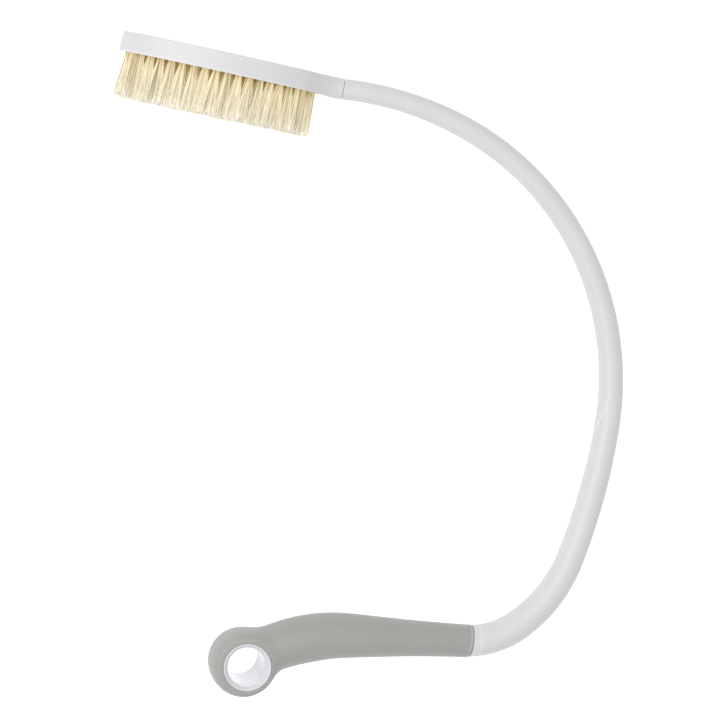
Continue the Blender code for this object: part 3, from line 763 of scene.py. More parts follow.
def plate_section(level):
    """Height and inset of the plate's side at one level."""
    size = abs(level)
    if size <= ROUNDED_FROM:
        height, inset = (PLATE_BACK - PLATE_EDGE) * size / ROUNDED_FROM, 0.0
    else:
        turn = radians(min(90.0, 90.0 * (size - ROUNDED_FROM) / ROUNDED_SPAN))
        height = PLATE_BACK - PLATE_EDGE + PLATE_EDGE * sin(turn)
        inset = PLATE_EDGE * (1.0 - cos(turn)) + 0.0006 * max(0.0, (size - 87.0) / 1.3)
    height = copysign(height, level)
    return height, inset + height * tan(PLATE_DRAFT)


def shell_outline(level):
    """Half of the shell's outline at one level, from the seam to the tip of the plate."""
    height, inset = plate_section(level)
    turn = radians(level)
    half_length, half_width = PLATE_HALF_LENGTH - inset, PLATE_HALF_WIDTH - inset
    join = acos((NECK_FLARE_LENGTH - PLATE_MIDDLE) / half_length)
    join_width = half_width * sin(join)
    join_slope = -half_width * cos(join) / (half_length * sin(join))
    points = []
    for share in (i / FLARE_STEPS for i in range(FLARE_STEPS)):
        width = NECK_RADIUS * cos(turn)
        width += (join_width - width) * eased(share)
        width += share * share * (share - 1.0) * NECK_FLARE_LENGTH * join_slope
        points.append((share * NECK_FLARE_LENGTH, width))
    for i in range(OVAL_STEPS + 1):
        angle = join * (1.0 - i / OVAL_STEPS)
        points.append((PLATE_MIDDLE + half_length * cos(angle), half_width * sin(angle)))
    raised = []
    for x, y in points:
        lip = NECK_LIP_HEIGHT * fade(abs(x - NECK_LIP_AT), 0.0, 0.004) if level < 0.0 else 0.0
        swell = fade(x, *(BULGE_ENDS if level < 0.0 else (0.0, NECK_SWELL_LENGTH)))
        z = height + ((NECK_RADIUS + lip) * sin(turn) - height) * swell
        lean = z * tan(SEAM_HEADING - HEAD_HEADING) * (1.0 - min(1.0, x / NECK_FLARE_LENGTH))
        raised.append((x + lean, y, z))
    return raised


def shell_loft():
    points = []
    for level in shell_levels():
        half = [(NECK_SLANT * y * max(0.0, 1.0 - x / NECK_FLARE_LENGTH), x, y, z) for x, y, z in shell_outline(level)]
        points += [(x + slant, y, z) for slant, x, y, z in half]
        points += [(x - slant, -y, z) for slant, x, y, z in reversed(half[:-1])]
    rings = len(shell_levels())
    count = len(points) // rings
    faces = band_faces(rings, count)
    for base in (0, (rings - 1) * count):
        neck = 0
        while points[base + neck][0] < NECK_FLARE_LENGTH * 0.98:
            faces.append((base + neck, base + neck + 1, base + count - 2 - neck, base + count - 1 - neck))
            neck += 1
        faces.append(tuple(range(base + neck, base + count - neck)))
    return mesh_from("head shell loft", points, faces)


def spigot_profile():
    radius = SOCKET_RADIUS - CLEARANCE
    groove_half = SEAL_SECTION + SEAL_SQUEEZE_GAP
    floor = SOCKET_RADIUS - 2 * (SEAL_SECTION + SEAL_SQUEEZE_GAP)
    nose = [(radius - SPIGOT_CHAMFER, 0.0), (radius - 0.3 * SPIGOT_CHAMFER, 0.4), (radius, 1.0)]
    groove = [(radius, 1), (floor, 1), (floor, -1), (radius, -1)]
    return [
        (0.0, SPIGOT_LENGTH),
        *((r, SPIGOT_LENGTH - below * SPIGOT_CHAMFER) for r, below in nose),
        *((r, SEAL_AT + side * groove_half) for r, side in groove),
        (radius, -OVERLAP),
        (0.0, -OVERLAP),
    ]


def disc_profile(radius, top, bottom):
    return [(0.0, top), (radius, top), (radius, bottom), (0.0, bottom)]


def key_mesh(name, extra):
    radius = SOCKET_RADIUS - CLEARANCE
    low = (-radius - KEY_HEIGHT - extra, -KEY_WIDTH / 2 - extra, -OVERLAP)
    return box_mesh(name, low, (-radius / 2, KEY_WIDTH / 2 + extra, KEY_LENGTH + extra), SEAM)


class BATHBRUSH_OT_head_shell(Operator):
    """Make the head's shell, with its neck, its pocket for the carrier, and its spigot"""

    bl_idname = "bath_brush.head_shell"
    bl_label = "Head shell"

    def execute(self, context):
        seat = CARRIER_BACK + SEAM_GAP
        length, width = PLATE_HALF_LENGTH - SHELL_WALL, PLATE_HALF_WIDTH - SHELL_WALL
        pocket = oval_mesh("pocket", length, width, -PLATE_THICKNESS, seat)
        hollow = oval_mesh("hollow", length - 0.002, width - 0.002, seat - OVERLAP, PLATE_BACK - SHELL_ROOF)
        added = []
        for side in (-1, 1):
            place = Matrix.Translation((PLATE_MIDDLE + side * POST_SPACING, 0.0, 0.0))
            profile = disc_profile(POST_RADIUS, PLATE_BACK - SHELL_ROOF / 2, CARRIER_FACE + SEAM_GAP)
            added.append(turned_mesh(f"post {side}", profile, 40, place))
        to_head = HEAD.inverted()
        added.append(turned_mesh("spigot", spigot_profile(), 72, to_head @ SEAM))
        added.append(key_mesh("key", 0.0))
        added[-1].transform(to_head)
        profile = disc_profile(*NECK_SHOULDER, -OVERLAP / 2)
        added.append(turned_mesh("neck shoulder", profile, 72, to_head @ SLANTED_SEAM))
        mesh = mark_edges(cut_mesh("head shell", shell_loft(), (pocket, hollow), added))
        places = mesh_points(mesh)
        # Painted highlight along the plate's lower rim on the bristles' side, kept with the rubbed-edge wear.
        raise_wear(mesh, RIM_HIGHLIGHT * ((places[:, 2] < 0.0006 - PLATE_BACK) & (places[:, 0] > NECK_FLARE_LENGTH)))
        finish_piece("head_shell", mesh, "head", moulding("gloss white plastic"), LYING @ HEAD)
        return {"FINISHED"}


# ---------------------------------------------------------------- tube, collar, seal and liner


def smoothed(stations, values, distances, reach):
    """Measured half-widths in millimetres, made a smooth run of radii in metres."""
    offsets = np.linspace(-2.0, 2.0, 21) * reach
    weights = np.exp(-((offsets / reach) ** 2))
    total = sum(w * np.interp(distances + o, stations, values) for o, w in zip(offsets, weights))
    return total / weights.sum() / 1000


def tube_radii(distances):
    return smoothed(TUBE_STATIONS, TUBE_HALF_WIDTHS, np.asarray(distances), 0.014)


def ridge_turn(distance):
    return radians(np.interp(distance, *RIDGE_COURSE))


def parting_ridge(distance, angles):
    """Fine moulded ridge that crosses the near face, then follows the inner side, and the same on the far face."""
    height = bpy.context.scene.bath_brush_sizes.parting_height
    strength = height * np.interp(distance, *RIDGE_HEIGHTS)
    found = np.zeros_like(angles)
    for centre in (ridge_turn(distance), pi - ridge_turn(distance)):
        apart = np.abs((angles - centre + pi) % (2 * pi) - pi)
        found += strength * np.exp(-apart / RIDGE_HALF_ANGLE)
    return found


def mark_ridge(mesh):
    """Stores a painted highlight on the crest of the tube's ridge, strongest where it crosses over to the inner side.
    """
    points = mesh_points(mesh)
    for distance in np.arange(RIDGE_HIGHLIGHT[0][0], RIDGE_HIGHLIGHT[0][-1], 0.0006):
        place, _, inward = handle_axes(distance)
        turn = ridge_turn(distance)
        radius = tube_radii([distance])[0]
        strength = np.interp(distance, *RIDGE_HIGHLIGHT)
        for face in (1.0, -1.0):
            crest = place + radius * (sin(turn) * inward + face * cos(turn) * OUTWARD)
            raise_wear(mesh, strength * np.exp(-((np.linalg.norm(points - crest, axis=1) / RIDGE_CREST) ** 2)))


class BATHBRUSH_OT_handle_tube(Operator):
    """Make the curved tube, with its socket, key slot and bore"""

    bl_idname = "bath_brush.handle_tube"
    bl_label = "Handle tube"

    def execute(self, context):
        start, end = RIDGE_STRETCH
        run = (np.arange(-0.004, start, 0.0014), np.arange(start, end, 0.0007))
        run += (np.arange(end, TUBE_LENGTH - 0.0026, 0.0012), TUBE_LENGTH - 0.0001 * np.array(TUBE_END_STEPS))
        distances = np.concatenate(run)
        radii = tube_radii(distances)
        radii += TUBE_LIP_HEIGHT * np.exp(-(((TUBE_LENGTH - distances - TUBE_LIP_AT) / TUBE_LIP_WIDTH) ** 2))
        outer = swept_mesh("tube", distances, radii, TUBE_SIDES, parting_ridge)
        reach = 0.020
        square = box_mesh("neck end", (-reach, -reach, -reach), (reach, reach, NECK_GAP), SLANTED_SEAM)
        depth = SPIGOT_LENGTH + SEAM_GAP + CLEARANCE
        mouth = SOCKET_RADIUS + SOCKET_CHAMFER
        profile = [(0.0, depth), (SOCKET_RADIUS, depth), (SOCKET_RADIUS, SEAM_GAP + SOCKET_CHAMFER)]
        profile += [(mouth, SEAM_GAP), (mouth, -OVERLAP), (0.0, -OVERLAP)]
        socket = turned_mesh("socket", profile, 72, SEAM)
        bore_at = np.append(np.arange(depth - OVERLAP / 2, TUBE_LENGTH, 0.004), TUBE_LENGTH + OVERLAP)
        bore = swept_mesh("bore", bore_at, tube_radii(np.minimum(bore_at, TUBE_LENGTH)) - TUBE_WALL, 40)
        mesh = mark_edges(cut_mesh("handle tube", outer, (square, socket, key_mesh("key slot", CLEARANCE), bore)))
        # Painted highlight line on the tube's lip by the collar.
        mark_line(mesh, *TUBE_HIGHLIGHT_LINE)
        # Painted highlight along the ridge's crest.
        mark_ridge(mesh)
        finish_piece("handle_tube", mesh, "handle", moulding("gloss white plastic"))
        return {"FINISHED"}


class BATHBRUSH_OT_collar(Operator):
    """Make the spacer ring between the tube and the soft grip"""

    bl_idname = "bath_brush.collar"
    bl_label = "Grip collar"

    def execute(self, context):
        start, end = TUBE_LENGTH + COLLAR_GAP, TUBE_LENGTH + COLLAR_LENGTH
        steps = np.concatenate((np.arange(0.0, 0.95, 0.08), (1.3, 1.8, 2.3, 2.8, 3.1), np.arange(3.3, 4.0, 0.08)))
        distances = np.append(start + 0.001 * steps[steps < 1000 * (end - start)], end)
        drop, edge = COLLAR_EDGE
        radii = COLLAR_RADIUS - drop * (1.0 - np.clip((end - distances) / edge, 0.0, 1.0)) ** 2
        body = swept_mesh("collar", distances, radii, TUBE_SIDES)
        bore_at = (start - OVERLAP, (start + end) / 2, end + OVERLAP)
        bore = swept_mesh("collar bore", bore_at, np.full(3, CORE_PLUG_ROOM), 64)
        mesh = mark_edges(cut_mesh("grip collar", body, [bore]))
        finish_piece("grip_collar", mesh, "handle", moulding("gloss white plastic"))
        return {"FINISHED"}


class BATHBRUSH_OT_neck_seal(Operator):
    """Make the rubber ring in the spigot's groove"""

    bl_idname = "bath_brush.neck_seal"
    bl_label = "Neck seal"

    def execute(self, context):
        centre = SOCKET_RADIUS - SEAL_SQUEEZE_GAP - SEAL_SECTION
        turns = [2 * pi * i / 16 for i in range(16)]
        profile = [(centre + SEAL_SECTION * cos(t), SEAL_AT + SEAL_SECTION * sin(t)) for t in turns]
        mesh = mark_edges(turned_mesh("neck seal", profile, 72, SEAM))
        finish_piece("neck_seal", mesh, "head", moulding("neck seal rubber"))
        return {"FINISHED"}


def liner_profile():
    """Rounded outer corners, a bore that flares a little at the back, and a cone at its mouth."""
    half, rounding = LINER_HALF_DEPTH, LINER_ROUNDING
    turns = [radians(15 * i) for i in range(7)]
    rim = LINER_RADIUS - rounding
    corner = [(rim + rounding * cos(t), half - rounding + rounding * sin(t)) for t in turns]
    profile = corner[::-1] + [(radius, -height) for radius, height in corner]
    back_rim = LINER_BORE + LINER_BACK_FLARE + rounding
    profile += [(back_rim - rounding * cos(t), -half + rounding - rounding * sin(t)) for t in turns[::-1]]
    for share in (0.75, 0.5, 0.25, 0.1, 0.0):
        height = rounding - half + LINER_CONE_DEPTH * (1.0 - share)
        profile.append((LINER_BORE + LINER_BACK_FLARE * share**2, height))
    cone = half - LINER_CONE_DEPTH
    reach = LINER_RADIUS - LINER_LAND - LINER_BORE
    for share in (-0.3, -0.2, -0.1, 0.0, 0.1, 0.2, 0.3):
        profile.append((LINER_BORE + 0.0012 * max(0.0, share + 0.3) ** 2, cone + LINER_CONE_DEPTH * share))
    for share in (0.45, 0.6, 0.75, 0.9):
        profile.append((LINER_BORE + reach * share, cone + LINER_CONE_DEPTH * share))
    return profile + [(LINER_RADIUS - LINER_LAND, half - 0.0001)]


class BATHBRUSH_OT_ring_liner(Operator):
    """Make the liner of the hanging ring"""

    bl_idname = "bath_brush.ring_liner"
    bl_label = "Ring liner"

    def execute(self, context):
        mesh = mark_edges(turned_mesh("ring liner", liner_profile(), 160, HOLE))
        x, y, _ = carried(mesh_points(mesh), HOLE.inverted()).T
        # Painted light in the bore: the glow is strongest on the bore's wall and most on its lower side, where light
        # falls in.
        wall = np.clip((LINER_BORE + 0.0010 - np.hypot(x, y)) / 0.0006, 0.0, 1.0)
        lit_side = np.clip(-(0.55 * x + 0.83 * y) / LINER_BORE, 0.0, 1.0)
        light = mesh.attributes.new("bore_light", "FLOAT", "POINT")
        light.data.foreach_set("value", (0.05 + wall * (0.23 + 1.8 * lit_side)).astype(np.float32))
        finish_piece("hanging_ring_liner", mesh, "handle", liner_plastic())
        return {"FINISHED"}


# ---------------------------------------------------------------- soft grip


def ring_distance(points, power=2.4):
    """Rough distance to the hanging ring's bulged outside, for points in the ring's frame."""
    across = RING_RADIUS - RING_LIP
    u = np.maximum(np.hypot(points[..., 0], points[..., 1]) - RING_LIP, 0.0) / across
    v = np.abs(points[..., 2]) / RING_HALF_DEPTH
    size = np.maximum((u**power + v**power) ** (1 / power), 1e-9)
    slope = np.hypot((u / size) ** (power - 1) / across, (v / size) ** (power - 1) / RING_HALF_DEPTH)
    return (size - 1.0) / slope


def soft_least(a, b, width):
    near = np.maximum(width - np.abs(a - b), 0.0) / width
    return np.minimum(a, b) - near * near * width / 4


def grip_skin():
    """Grip and ring as one soft skin, found along rays from the centreline and then from the ring's middle."""
    run = (GRIP_START + 0.0001 * np.array(GRIP_EDGE_STEPS), np.arange(GRIP_START + 0.0020, RING_AT - 0.026, 0.0012))
    distances = np.concatenate(run + (np.arange(RING_AT - 0.0255, RING_AT, 0.0005),))
    radii = smoothed(GRIP_STATIONS, GRIP_HALF_WIDTHS, distances, 0.006)
    into = np.clip((distances - GRIP_START - 0.0005) / 0.0004, 0.0, 1.0)
    radii -= GRIP_EDGE_DROP * (1.0 - np.sqrt(1.0 - (1.0 - into) ** 2))
    stations = [(distance, 0.0, radius) for distance, radius in zip(distances, radii)]
    stations += [(RING_AT, turn, radii[-1]) for turn in np.radians(np.linspace(0.0, 88.0, 45))]
    angles = round_angles(GRIP_SIDES)
    origins, rays, bodies = [], [], []
    for distance, turn, radius in stations:
        place, along, inward = handle_axes(distance)
        ray = np.outer(np.cos(angles), OUTWARD) + np.outer(np.sin(angles), inward)
        origins.append(np.tile(place, (GRIP_SIDES, 1)))
        rays.append(cos(turn) * ray + sin(turn) * along)
        bodies.append(np.full(GRIP_SIDES, radius))
    origins, rays, bodies = np.concatenate(origins), np.concatenate(rays), np.concatenate(bodies)
    low, high = np.full(len(rays), 0.006), np.full(len(rays), 0.034)
    blend = bpy.context.scene.bath_brush_sizes.ring_blend
    to_ring = RING.inverted()
    for _ in range(36):
        middle = (low + high) / 2
        points = origins + rays * middle[:, None]
        inside = soft_least(middle - bodies, ring_distance(carried(points, to_ring)), blend) < 0.0
        low, high = np.where(inside, middle, low), np.where(inside, high, middle)
    points = origins + rays * ((low + high) / 2)[:, None]
    for ring, distance in enumerate(distances):
        place, along, inward = handle_axes(distance)
        here = points[ring * GRIP_SIDES : (ring + 1) * GRIP_SIDES]
        here += np.outer(parting_lean(distance) * ((here - place) @ inward), along)
    place, along, _ = handle_axes(RING_AT)
    pole = len(stations) * GRIP_SIDES
    last = pole - GRIP_SIDES
    faces = band_faces(len(stations), GRIP_SIDES) + [tuple(range(GRIP_SIDES))]
    faces += [(last + i, last + (i + 1) % GRIP_SIDES, pole) for i in range(GRIP_SIDES)]
    return mesh_from("grip skin", np.vstack((points, place + along * RING_RADIUS)), faces)


class BATHBRUSH_OT_soft_grip(Operator):
    """Make the soft grip, with its hanging ring, the hole for the liner, and the room for the core"""

    bl_idname = "bath_brush.soft_grip"
    bl_label = "Soft grip"

    def execute(self, context):
        hole = LINER_RADIUS + 0.00006
        mouth = [(0.0004, 0.0), (0.00026, -0.00006), (0.00012, -0.0002), (0.00003, -0.0004), (0.0, -0.0006)]
        profile = [(0.0, RING_HALF_DEPTH + 0.004), (hole + 0.0004, RING_HALF_DEPTH + 0.004)]
        profile += [(hole + wide, RING_HALF_DEPTH + deep) for wide, deep in mouth]
        profile += [(radius, -height) for radius, height in reversed(profile)]
        bore = turned_mesh("liner hole", profile, 160, HOLE)
        room_end = RING_AT - LINER_RADIUS
        room_at = np.append(np.arange(GRIP_START - OVERLAP, room_end, 0.004), room_end + OVERLAP)
        share = np.clip((room_at - GRIP_START) / 0.006, 0.0, 1.0)
        room = swept_mesh("core room", room_at, CORE_PLUG_ROOM + (CORE_ROOM - CORE_PLUG_ROOM) * share, 40)
        mesh = mark_edges(cut_mesh("soft grip", grip_skin(), (room, bore)))
        # Painted highlight line along the grip's edge by the collar.
        mark_line(mesh, *GRIP_HIGHLIGHT_LINE)
        finish_piece("soft_grip", mesh, "handle", soft_rubber())
        return {"FINISHED"}


# ---------------------------------------------------------------- bristles


def oval_places(half_length, half_width):
    """Tufts along an oval, one at each end of it and closer together towards the ends."""
    turns = 2 * pi * np.arange(1441) / 1440
    x = half_length * np.sign(np.cos(turns)) * np.abs(np.cos(turns)) ** 1.1
    y = half_width * np.sign(np.sin(turns)) * np.abs(np.sin(turns)) ** 1.1
    passed = np.append(0.0, np.cumsum(np.hypot(np.diff(x), ROUNDER * np.diff(y))))
    count = 2 * round(passed[-1] / TUFT_PITCH / 2)
    at = passed[-1] * np.arange(count) / count
    return list(np.stack((np.interp(at, passed, x), np.interp(at, passed, y)), axis=1))


def line_places(half_length):
    count = 1 + int((2 * half_length - TUFT_PITCH) / TUFT_PITCH)
    return [np.array(((i - (count - 1) / 2) * TUFT_PITCH, 0.0)) for i in range(count)]


def drilled_band(name, outer, inner, places):
    """Ring of backing that holds one row, with a hole for each tuft."""
    top = BACKING_FACE + BACKING_THICKNESS
    band = oval_mesh(name, PLATE_HALF_LENGTH - outer, PLATE_HALF_WIDTH - outer, BACKING_FACE, top)
    cuts = []
    if inner < PLATE_HALF_WIDTH:
        size = (PLATE_HALF_LENGTH - inner, PLATE_HALF_WIDTH - inner)
        cuts.append(oval_mesh("band hole", *size, BACKING_FACE - OVERLAP, top + OVERLAP))
    drills = bmesh.new()
    drill = {"cap_ends": True, "segments": 20, "radius1": TUFT_HOLE_RADIUS, "radius2": TUFT_HOLE_RADIUS}
    for x, y in places:
        at = Matrix.Translation((PLATE_MIDDLE + x, y, BACKING_FACE))
        bmesh.ops.create_cone(drills, depth=0.0016, matrix=at, **drill)
    tool = bpy.data.meshes.new("tuft holes")
    drills.to_mesh(tool)
    drills.free()
    return cut_mesh(name, band, [*cuts, tool])


def tuft_tree(values):
    """Geometry nodes that stand a tuft of fibres on every marked point and trim their tips to one plane."""
    tree = bpy.data.node_groups.new("tufts", "GeometryNodeTree")
    kinds = {bpy.types.Material: "Material", int: "Int", float: "Float"}
    tree.interface.new_socket("Geometry", in_out="INPUT", socket_type="NodeSocketGeometry")
    for name, value in values.items():
        tree.interface.new_socket(name, in_out="INPUT", socket_type=f"NodeSocket{kinds[type(value)]}")
    tree.interface.new_socket("Geometry", in_out="OUTPUT", socket_type="NodeSocketGeometry")
    given = tree.nodes.new("NodeGroupInput").outputs
    calc = partial(maths, tree)
    plus, minus, times, over = (partial(calc, name) for name in ("ADD", "SUBTRACT", "MULTIPLY", "DIVIDE"))

    def node(kind, inputs=None, output="Geometry", **settings):
        return add_node(tree, kind, inputs, **settings).outputs[output]

    def vectors(operation, *values, output="Vector"):
        return node("ShaderNodeVectorMath", dict(enumerate(values)), output, operation=operation)

    def chance(low, high, seed):
        return node("FunctionNodeRandomValue", {2: low, 3: high, "Seed": seed}, 1, data_type="FLOAT")

    def combined(*parts):
        return node("ShaderNodeCombineXYZ", dict(enumerate(parts)), "Vector")

    def split(vector):
        return add_node(tree, "ShaderNodeSeparateXYZ", {"Vector": vector}).outputs

    def position():
        return node("GeometryNodeInputPosition", output="Position")

    def kept(name, kind="FLOAT"):
        return node("GeometryNodeInputNamedAttribute", {"Name": name}, "Attribute", data_type=kind)

    def keep(geometry, name, value, kind="FLOAT"):
        inputs = {"Name": name, "Geometry": geometry, "Value": value}
        return node("GeometryNodeStoreNamedAttribute", inputs, data_type=kind, domain="POINT")

    chosen = {"Geometry": given["Geometry"], "Selection": calc("GREATER_THAN", kept("tuft"), 0.5)}
    parted = add_node(tree, "GeometryNodeSeparateGeometry", chosen, domain="POINT").outputs
    places = node("GeometryNodeMeshToPoints", {"Mesh": parted["Selection"]}, "Points")
    dealt = keep(places, "lot", chance(-1.0, 1.0, 9))
    amount = {"Geometry": dealt, "Amount": given["Fibres"]}
    many = add_node(tree, "GeometryNodeDuplicateElements", amount, domain="POINT").outputs
    number = many["Duplicate Index"]

    # Root of each fibre on a sunflower pattern in its hole, and its tip on a wider one
    turn = plus(times(number, SUNFLOWER_TURN), chance(-0.3, 0.3, 11))
    share = calc("SQRT", over(plus(number, 0.5), given["Fibres"]))
    root_reach = times(share, given["Root Spread"])
    tip_reach = times(times(share, given["Tip Spread"]), chance(0.88, 1.12, 12))
    cosine, sine = calc("COSINE", turn), calc("SINE", turn)
    at = position()
    root = vectors("ADD", at, combined(times(cosine, root_reach), times(sine, root_reach), 0.0))
    clump = node("ShaderNodeTexNoise", {"Vector": root, "Scale": 620.0, "Detail": 1.0}, "Color")
    off_middle = minus(split(at)[0], PLATE_MIDDLE + FIELD_SHIFT)
    halves = given["Field Half Length"], given["Field Half Width"]
    tips = []
    for offset, half, stray, side in zip((off_middle, split(at)[1]), halves, split(clump), (cosine, sine)):
        outwards = times(over(offset, half), given["Splay"])
        gathered = times(minus(stray, 0.5), given["Clumping"])
        tips.append(plus(plus(offset, plus(outwards, gathered)), times(side, tip_reach)))
    squares = [calc("POWER", calc("ABSOLUTE", over(tip, half)), 2.0) for tip, half in zip(tips, halves)]
    held = over(chance(0.965, 1.0, 13), calc("MAXIMUM", calc("SQRT", plus(*squares)), 1.0))
    held_x, held_y = times(tips[0], held), times(tips[1], held)
    short = calc("MULTIPLY_ADD", calc("SQRT", chance(0.0, 1.0, 14)), -1.9, 0.7)
    ragged = times(calc("MULTIPLY_ADD", kept("lot"), 0.45, short), given["Raggedness"])
    reach = plus(calc("MULTIPLY_ADD", held_x, given["Tip Slope"], given["Length"]), ragged)
    tip = combined(plus(held_x, PLATE_MIDDLE + FIELD_SHIFT + TIP_SHIFT), held_y, minus(-PLATE_BACK, reach))
    run = vectors("SUBTRACT", tip, root)

    # Values that later nodes need are kept on the points before these move to their roots
    points = keep(many["Geometry"], "fibre", chance(0.0, 1.0, 15))
    points = keep(points, "way", run, "FLOAT_VECTOR")
    points = keep(points, "span", vectors("LENGTH", run, output="Value"))
    points = keep(points, "root", root, "FLOAT_VECTOR")
    seated = node("GeometryNodeSetPosition", {"Geometry": points, "Position": kept("root", "FLOAT_VECTOR")})

    # One fibre: a slim tapered prism of unit height that keeps its own height
    prism = {"Vertices": 3, "Side Segments": 3, "Fill Segments": 1, "Radius Top": 0.62, "Radius Bottom": 1.0}
    fibre = node("GeometryNodeMeshCone", {**prism, "Depth": 1.0}, "Mesh", fill_type="NGON")
    radius = given["Fibre Radius"]
    facing = {"Vector": kept("way", "FLOAT_VECTOR")}
    standing = {
        "Points": seated,
        "Instance": keep(fibre, "along", split(position())[2]),
        "Rotation": node("FunctionNodeAlignRotationToVector", facing, "Rotation", axis="Z"),
        "Scale": combined(radius, radius, kept("span")),
    }
    stood = node("GeometryNodeInstanceOnPoints", standing, "Instances")
    real = node("GeometryNodeRealizeInstances", {"Geometry": stood})

    # Fibres bow a little, most at their middle
    bow = times(times(kept("along"), minus(1.0, kept("along"))), given["Bend"])
    swing = times(kept("fibre"), 173.0)
    bowed = combined(times(calc("COSINE", swing), bow), times(calc("SINE", swing), bow), 0.0)
    shaped = node("GeometryNodeSetPosition", {"Geometry": real, "Offset": bowed})
    smooth = node("GeometryNodeSetShadeSmooth", {"Geometry": shaped})
    coloured = node("GeometryNodeSetMaterial", {"Geometry": smooth, "Material": given["Hair"]})
    joined = add_node(tree, "GeometryNodeJoinGeometry", {"Geometry": coloured})
    feed(tree, joined, {"Geometry": parted["Inverted"]})
    feed(tree, tree.nodes.new("NodeGroupOutput"), {"Geometry": joined.outputs["Geometry"]})
    return tree


def grown_mesh(band, places, tree, values):
    """The band's mesh with its tufts: a loose marked point at the root of each, and the tuft tree run on them."""
    root = BACKING_FACE + BACKING_THICKNESS / 2
    bm = bmesh.new()
    bm.from_mesh(band)
    layer = bm.verts.layers.float.new("tuft")
    for x, y in places:
        bm.verts.new((PLATE_MIDDLE + x, y, root))[layer] = 1.0
    bm.to_mesh(band)
    bm.free()
    grown = add_object(band.name, band)
    modifier = grown.modifiers.new("tufts", "NODES")
    modifier.node_group = tree
    identifiers = {s.name: s.identifier for s in tree.interface.items_tree if s.in_out == "INPUT"}
    for name, value in values.items():
        modifier[identifiers[name]] = value
    return baked_mesh(grown)


class BATHBRUSH_OT_bristles(Operator):
    """Make the four rows of bristle tufts in their drilled backing"""

    bl_idname = "bath_brush.bristles"
    bl_label = "Bristles"

    def execute(self, context):
        sizes = context.scene.bath_brush_sizes
        outer_hair = bristle_hair("bristle hair", (1.0, 1.005, 1.06), OUTER_GLOW)
        # The inner rows' copy of the finish, more golden with a darker glow, is painted shade of the deeper rows.
        shaded_inner_hair = bristle_hair("bristle hair, inner rows", (1.0, 0.90, 0.66), INNER_SHADED_GLOW)
        backing = moulding("drilled backing")
        values = {
            "Fibres": sizes.fibre_count,
            "Hair": outer_hair,
            "Fibre Radius": sizes.fibre_radius,
            "Root Spread": TUFT_HOLE_RADIUS - 0.0003,
            "Tip Spread": sizes.tuft_spread,
            "Length": sizes.bristle_length,
            "Raggedness": sizes.raggedness,
            "Tip Slope": tan(radians(0.2)),
            "Field Half Length": TIP_FIELD[0],
            "Field Half Width": TIP_FIELD[1],
            "Splay": 0.0010,
            "Clumping": 0.0036,
            "Bend": 0.0010,
        }
        tree = tuft_tree(values)
        edge = SHELL_WALL + CLEARANCE
        spacing = (PLATE_HALF_WIDTH - edge - ROW_INSET) / (len(ROW_NAMES) - 1)
        for number, row in enumerate(ROW_NAMES):
            inset = edge + ROW_INSET + number * spacing
            outer = max(edge, inset - spacing / 2 + CLEARANCE / 2)
            inner = inset + spacing / 2 - CLEARANCE / 2
            if inner < PLATE_HALF_WIDTH:
                pull = OUTER_ROW_PULL if number == 0 else 0.0
                places = oval_places(PLATE_HALF_LENGTH - inset - pull, PLATE_HALF_WIDTH - inset)
            else:
                places = line_places(PLATE_HALF_LENGTH - inset)
            places = [place + np.array((FIELD_SHIFT, 0.0)) for place in places]
            values["Hair"] = outer_hair if number == 0 else shaded_inner_hair
            band = drilled_band(f"backing {row}", outer, inner, places)
            band.materials.clear()
            band.materials.append(backing)
            band.materials.append(values["Hair"])
            mesh = grown_mesh(band, places, tree, values)
            mesh.name = f"bristles {row}"
            mesh.transform(LYING @ HEAD)
            add_piece(f"bristles_{row}", mesh, "head", f"bristle_row_{row}")
        return {"FINISHED"}


# ---------------------------------------------------------------- carried-over pieces and stage


class BATHBRUSH_OT_inner_pieces(Operator):
    """Give the carrier and the grip's core their finishes"""

    bl_idname = "bath_brush.inner_pieces"
    bl_label = "Carrier and core finishes"

    def execute(self, context):
        for node, finish in (("bristle_carrier", "drilled backing"), ("grip_core", "grip core plastic")):
            carried_over = frame["nodes"][node].data.materials
            carried_over.clear()
            carried_over.append(moulding(finish))
        return {"FINISHED"}


def floor_finish():
    """Pale floor, brighter to the camera and in reflections than in the light that it sends."""
    material, tree, shader = shader_tree("pale floor")
    drift = group_outputs(tree, tone_drift, {"Colour": (0.78, 0.78, 0.78, 1.0), "Cloud Scale": 2.0, "Amount": 0.01})
    seen = add_node(tree, "ShaderNodeLightPath").outputs
    watched = maths(tree, "MAXIMUM", seen["Is Camera Ray"], seen["Is Glossy Ray"])
    inputs = {"Base Color": drift["Colour"], "Roughness": 0.9, "Emission Color": (1.0, 1.0, 1.0, 1.0)}
    feed(tree, shader, {**inputs, "Emission Strength": between(tree, 0.08, 0.75, watched)})
    return material


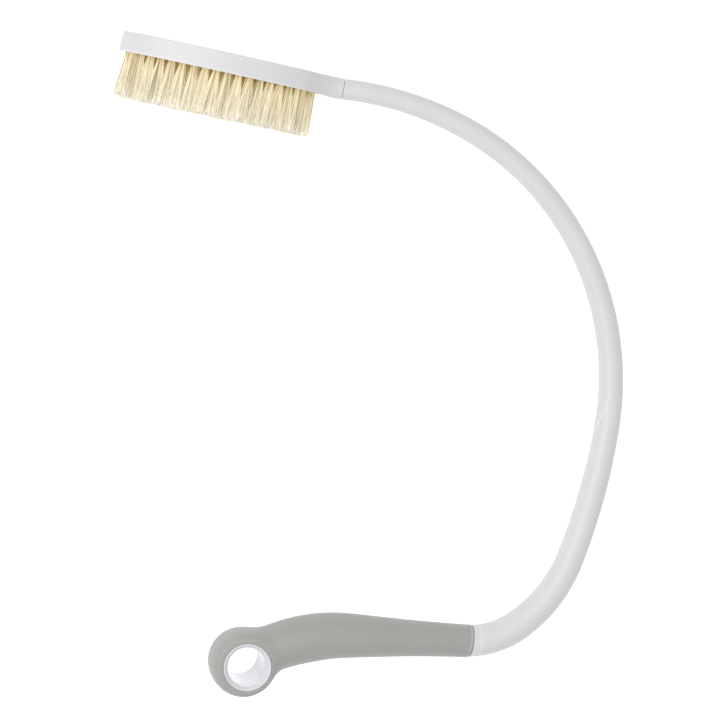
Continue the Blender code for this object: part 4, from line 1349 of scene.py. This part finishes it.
class BATHBRUSH_OT_studio(Operator):
    """Lay the floor, hang the soft light and set the camera at the photograph's angle"""

    bl_idname = "bath_brush.studio"
    bl_label = "Studio"

    def execute(self, context):
        scene = context.scene
        level, rise = cos(CAMERA_ABOVE), sin(CAMERA_ABOVE)
        back = Vector((-sin(CAMERA_LEFT) * level, rise, cos(CAMERA_LEFT) * level))
        right = Vector((cos(CAMERA_LEFT), 0.0, sin(CAMERA_LEFT)))
        right, up, back = (LYING.to_3x3() @ axis for axis in (right, back.cross(right), back))
        middle = LYING @ LOOKED_AT
        lens = bpy.data.cameras.new("camera")
        lens.sensor_width, lens.lens = SENSOR_WIDTH, CAMERA_LENS
        lens.clip_start, lens.clip_end = 0.05, 50.0
        scene.camera = add_object("camera", lens)
        scene.camera.matrix_world = Matrix.Translation(middle + CAMERA_DISTANCE * back) @ frame_of(right, up, back)

        floor_mesh = bpy.data.meshes.new("floor")
        floor_mesh.from_pydata([(-6, -6, 0), (6, -6, 0), (6, 6, 0), (-6, 6, 0)], [], [(0, 1, 2, 3)])
        floor_mesh.materials.append(floor_finish())
        floor = add_object("floor", floor_mesh)
        floor.location.z = -0.0002

        scene.world = bpy.data.worlds.new("studio")
        scene.world.use_nodes = True
        tree = scene.world.node_tree
        feed(tree, tree.nodes["Background"], {"Color": (1.0, 1.0, 1.0, 1.0), "Strength": 0.54})

        key = bpy.data.lights.new("key", "AREA")
        key.shape = "RECTANGLE"
        key.size, key.size_y, key.energy = 1.3, 1.3, 11.8
        lamp = add_object("key", key)
        lamp.location = middle - 0.36 * right + 1.5 * back
        lamp.rotation_euler = (middle - lamp.location).to_track_quat("-Z", "Y").to_euler()
        scene.view_settings.view_transform = "Standard"
        scene.view_settings.look = "None"
        return {"FINISHED"}


class BATHBRUSH_PT_looks(Panel):
    """Steps that build the brush's looks, with its sizes and colours"""

    bl_idname = "BATHBRUSH_PT_looks"
    bl_label = "Bath brush"
    bl_space_type = "VIEW_3D"
    bl_region_type = "UI"
    bl_category = "Bath brush"

    def draw(self, context):
        column = self.layout.column()
        for settings in (context.scene.bath_brush_sizes, context.scene.bath_brush_colours):
            for name in settings.bl_rna.properties.keys():
                if name not in ("rna_type", "name"):
                    column.prop(settings, name)
        for operator in OPERATORS:
            column.operator(operator.bl_idname)


OPERATORS = (
    BATHBRUSH_OT_studio,
    BATHBRUSH_OT_head_shell,
    BATHBRUSH_OT_neck_seal,
    BATHBRUSH_OT_bristles,
    BATHBRUSH_OT_handle_tube,
    BATHBRUSH_OT_collar,
    BATHBRUSH_OT_soft_grip,
    BATHBRUSH_OT_ring_liner,
    BATHBRUSH_OT_inner_pieces,
)
CLASSES = (BathBrushSizes, BathBrushColours, *OPERATORS, BATHBRUSH_PT_looks)


def register():
    for cls in CLASSES:
        bpy.utils.register_class(cls)
    bpy.types.Scene.bath_brush_sizes = PointerProperty(type=BathBrushSizes)
    bpy.types.Scene.bath_brush_colours = PointerProperty(type=BathBrushColours)


def unregister():
    del bpy.types.Scene.bath_brush_colours
    del bpy.types.Scene.bath_brush_sizes
    for cls in reversed(CLASSES):
        bpy.utils.unregister_class(cls)


def main():
    register()
    bpy.ops.bath_brush.studio()
    bpy.ops.bath_brush.head_shell()
    bpy.ops.bath_brush.neck_seal()
    bpy.ops.bath_brush.bristles()
    bpy.ops.bath_brush.handle_tube()
    bpy.ops.bath_brush.collar()
    bpy.ops.bath_brush.soft_grip()
    bpy.ops.bath_brush.ring_liner()
    bpy.ops.bath_brush.inner_pieces()


if __name__ == "__main__":
    main()
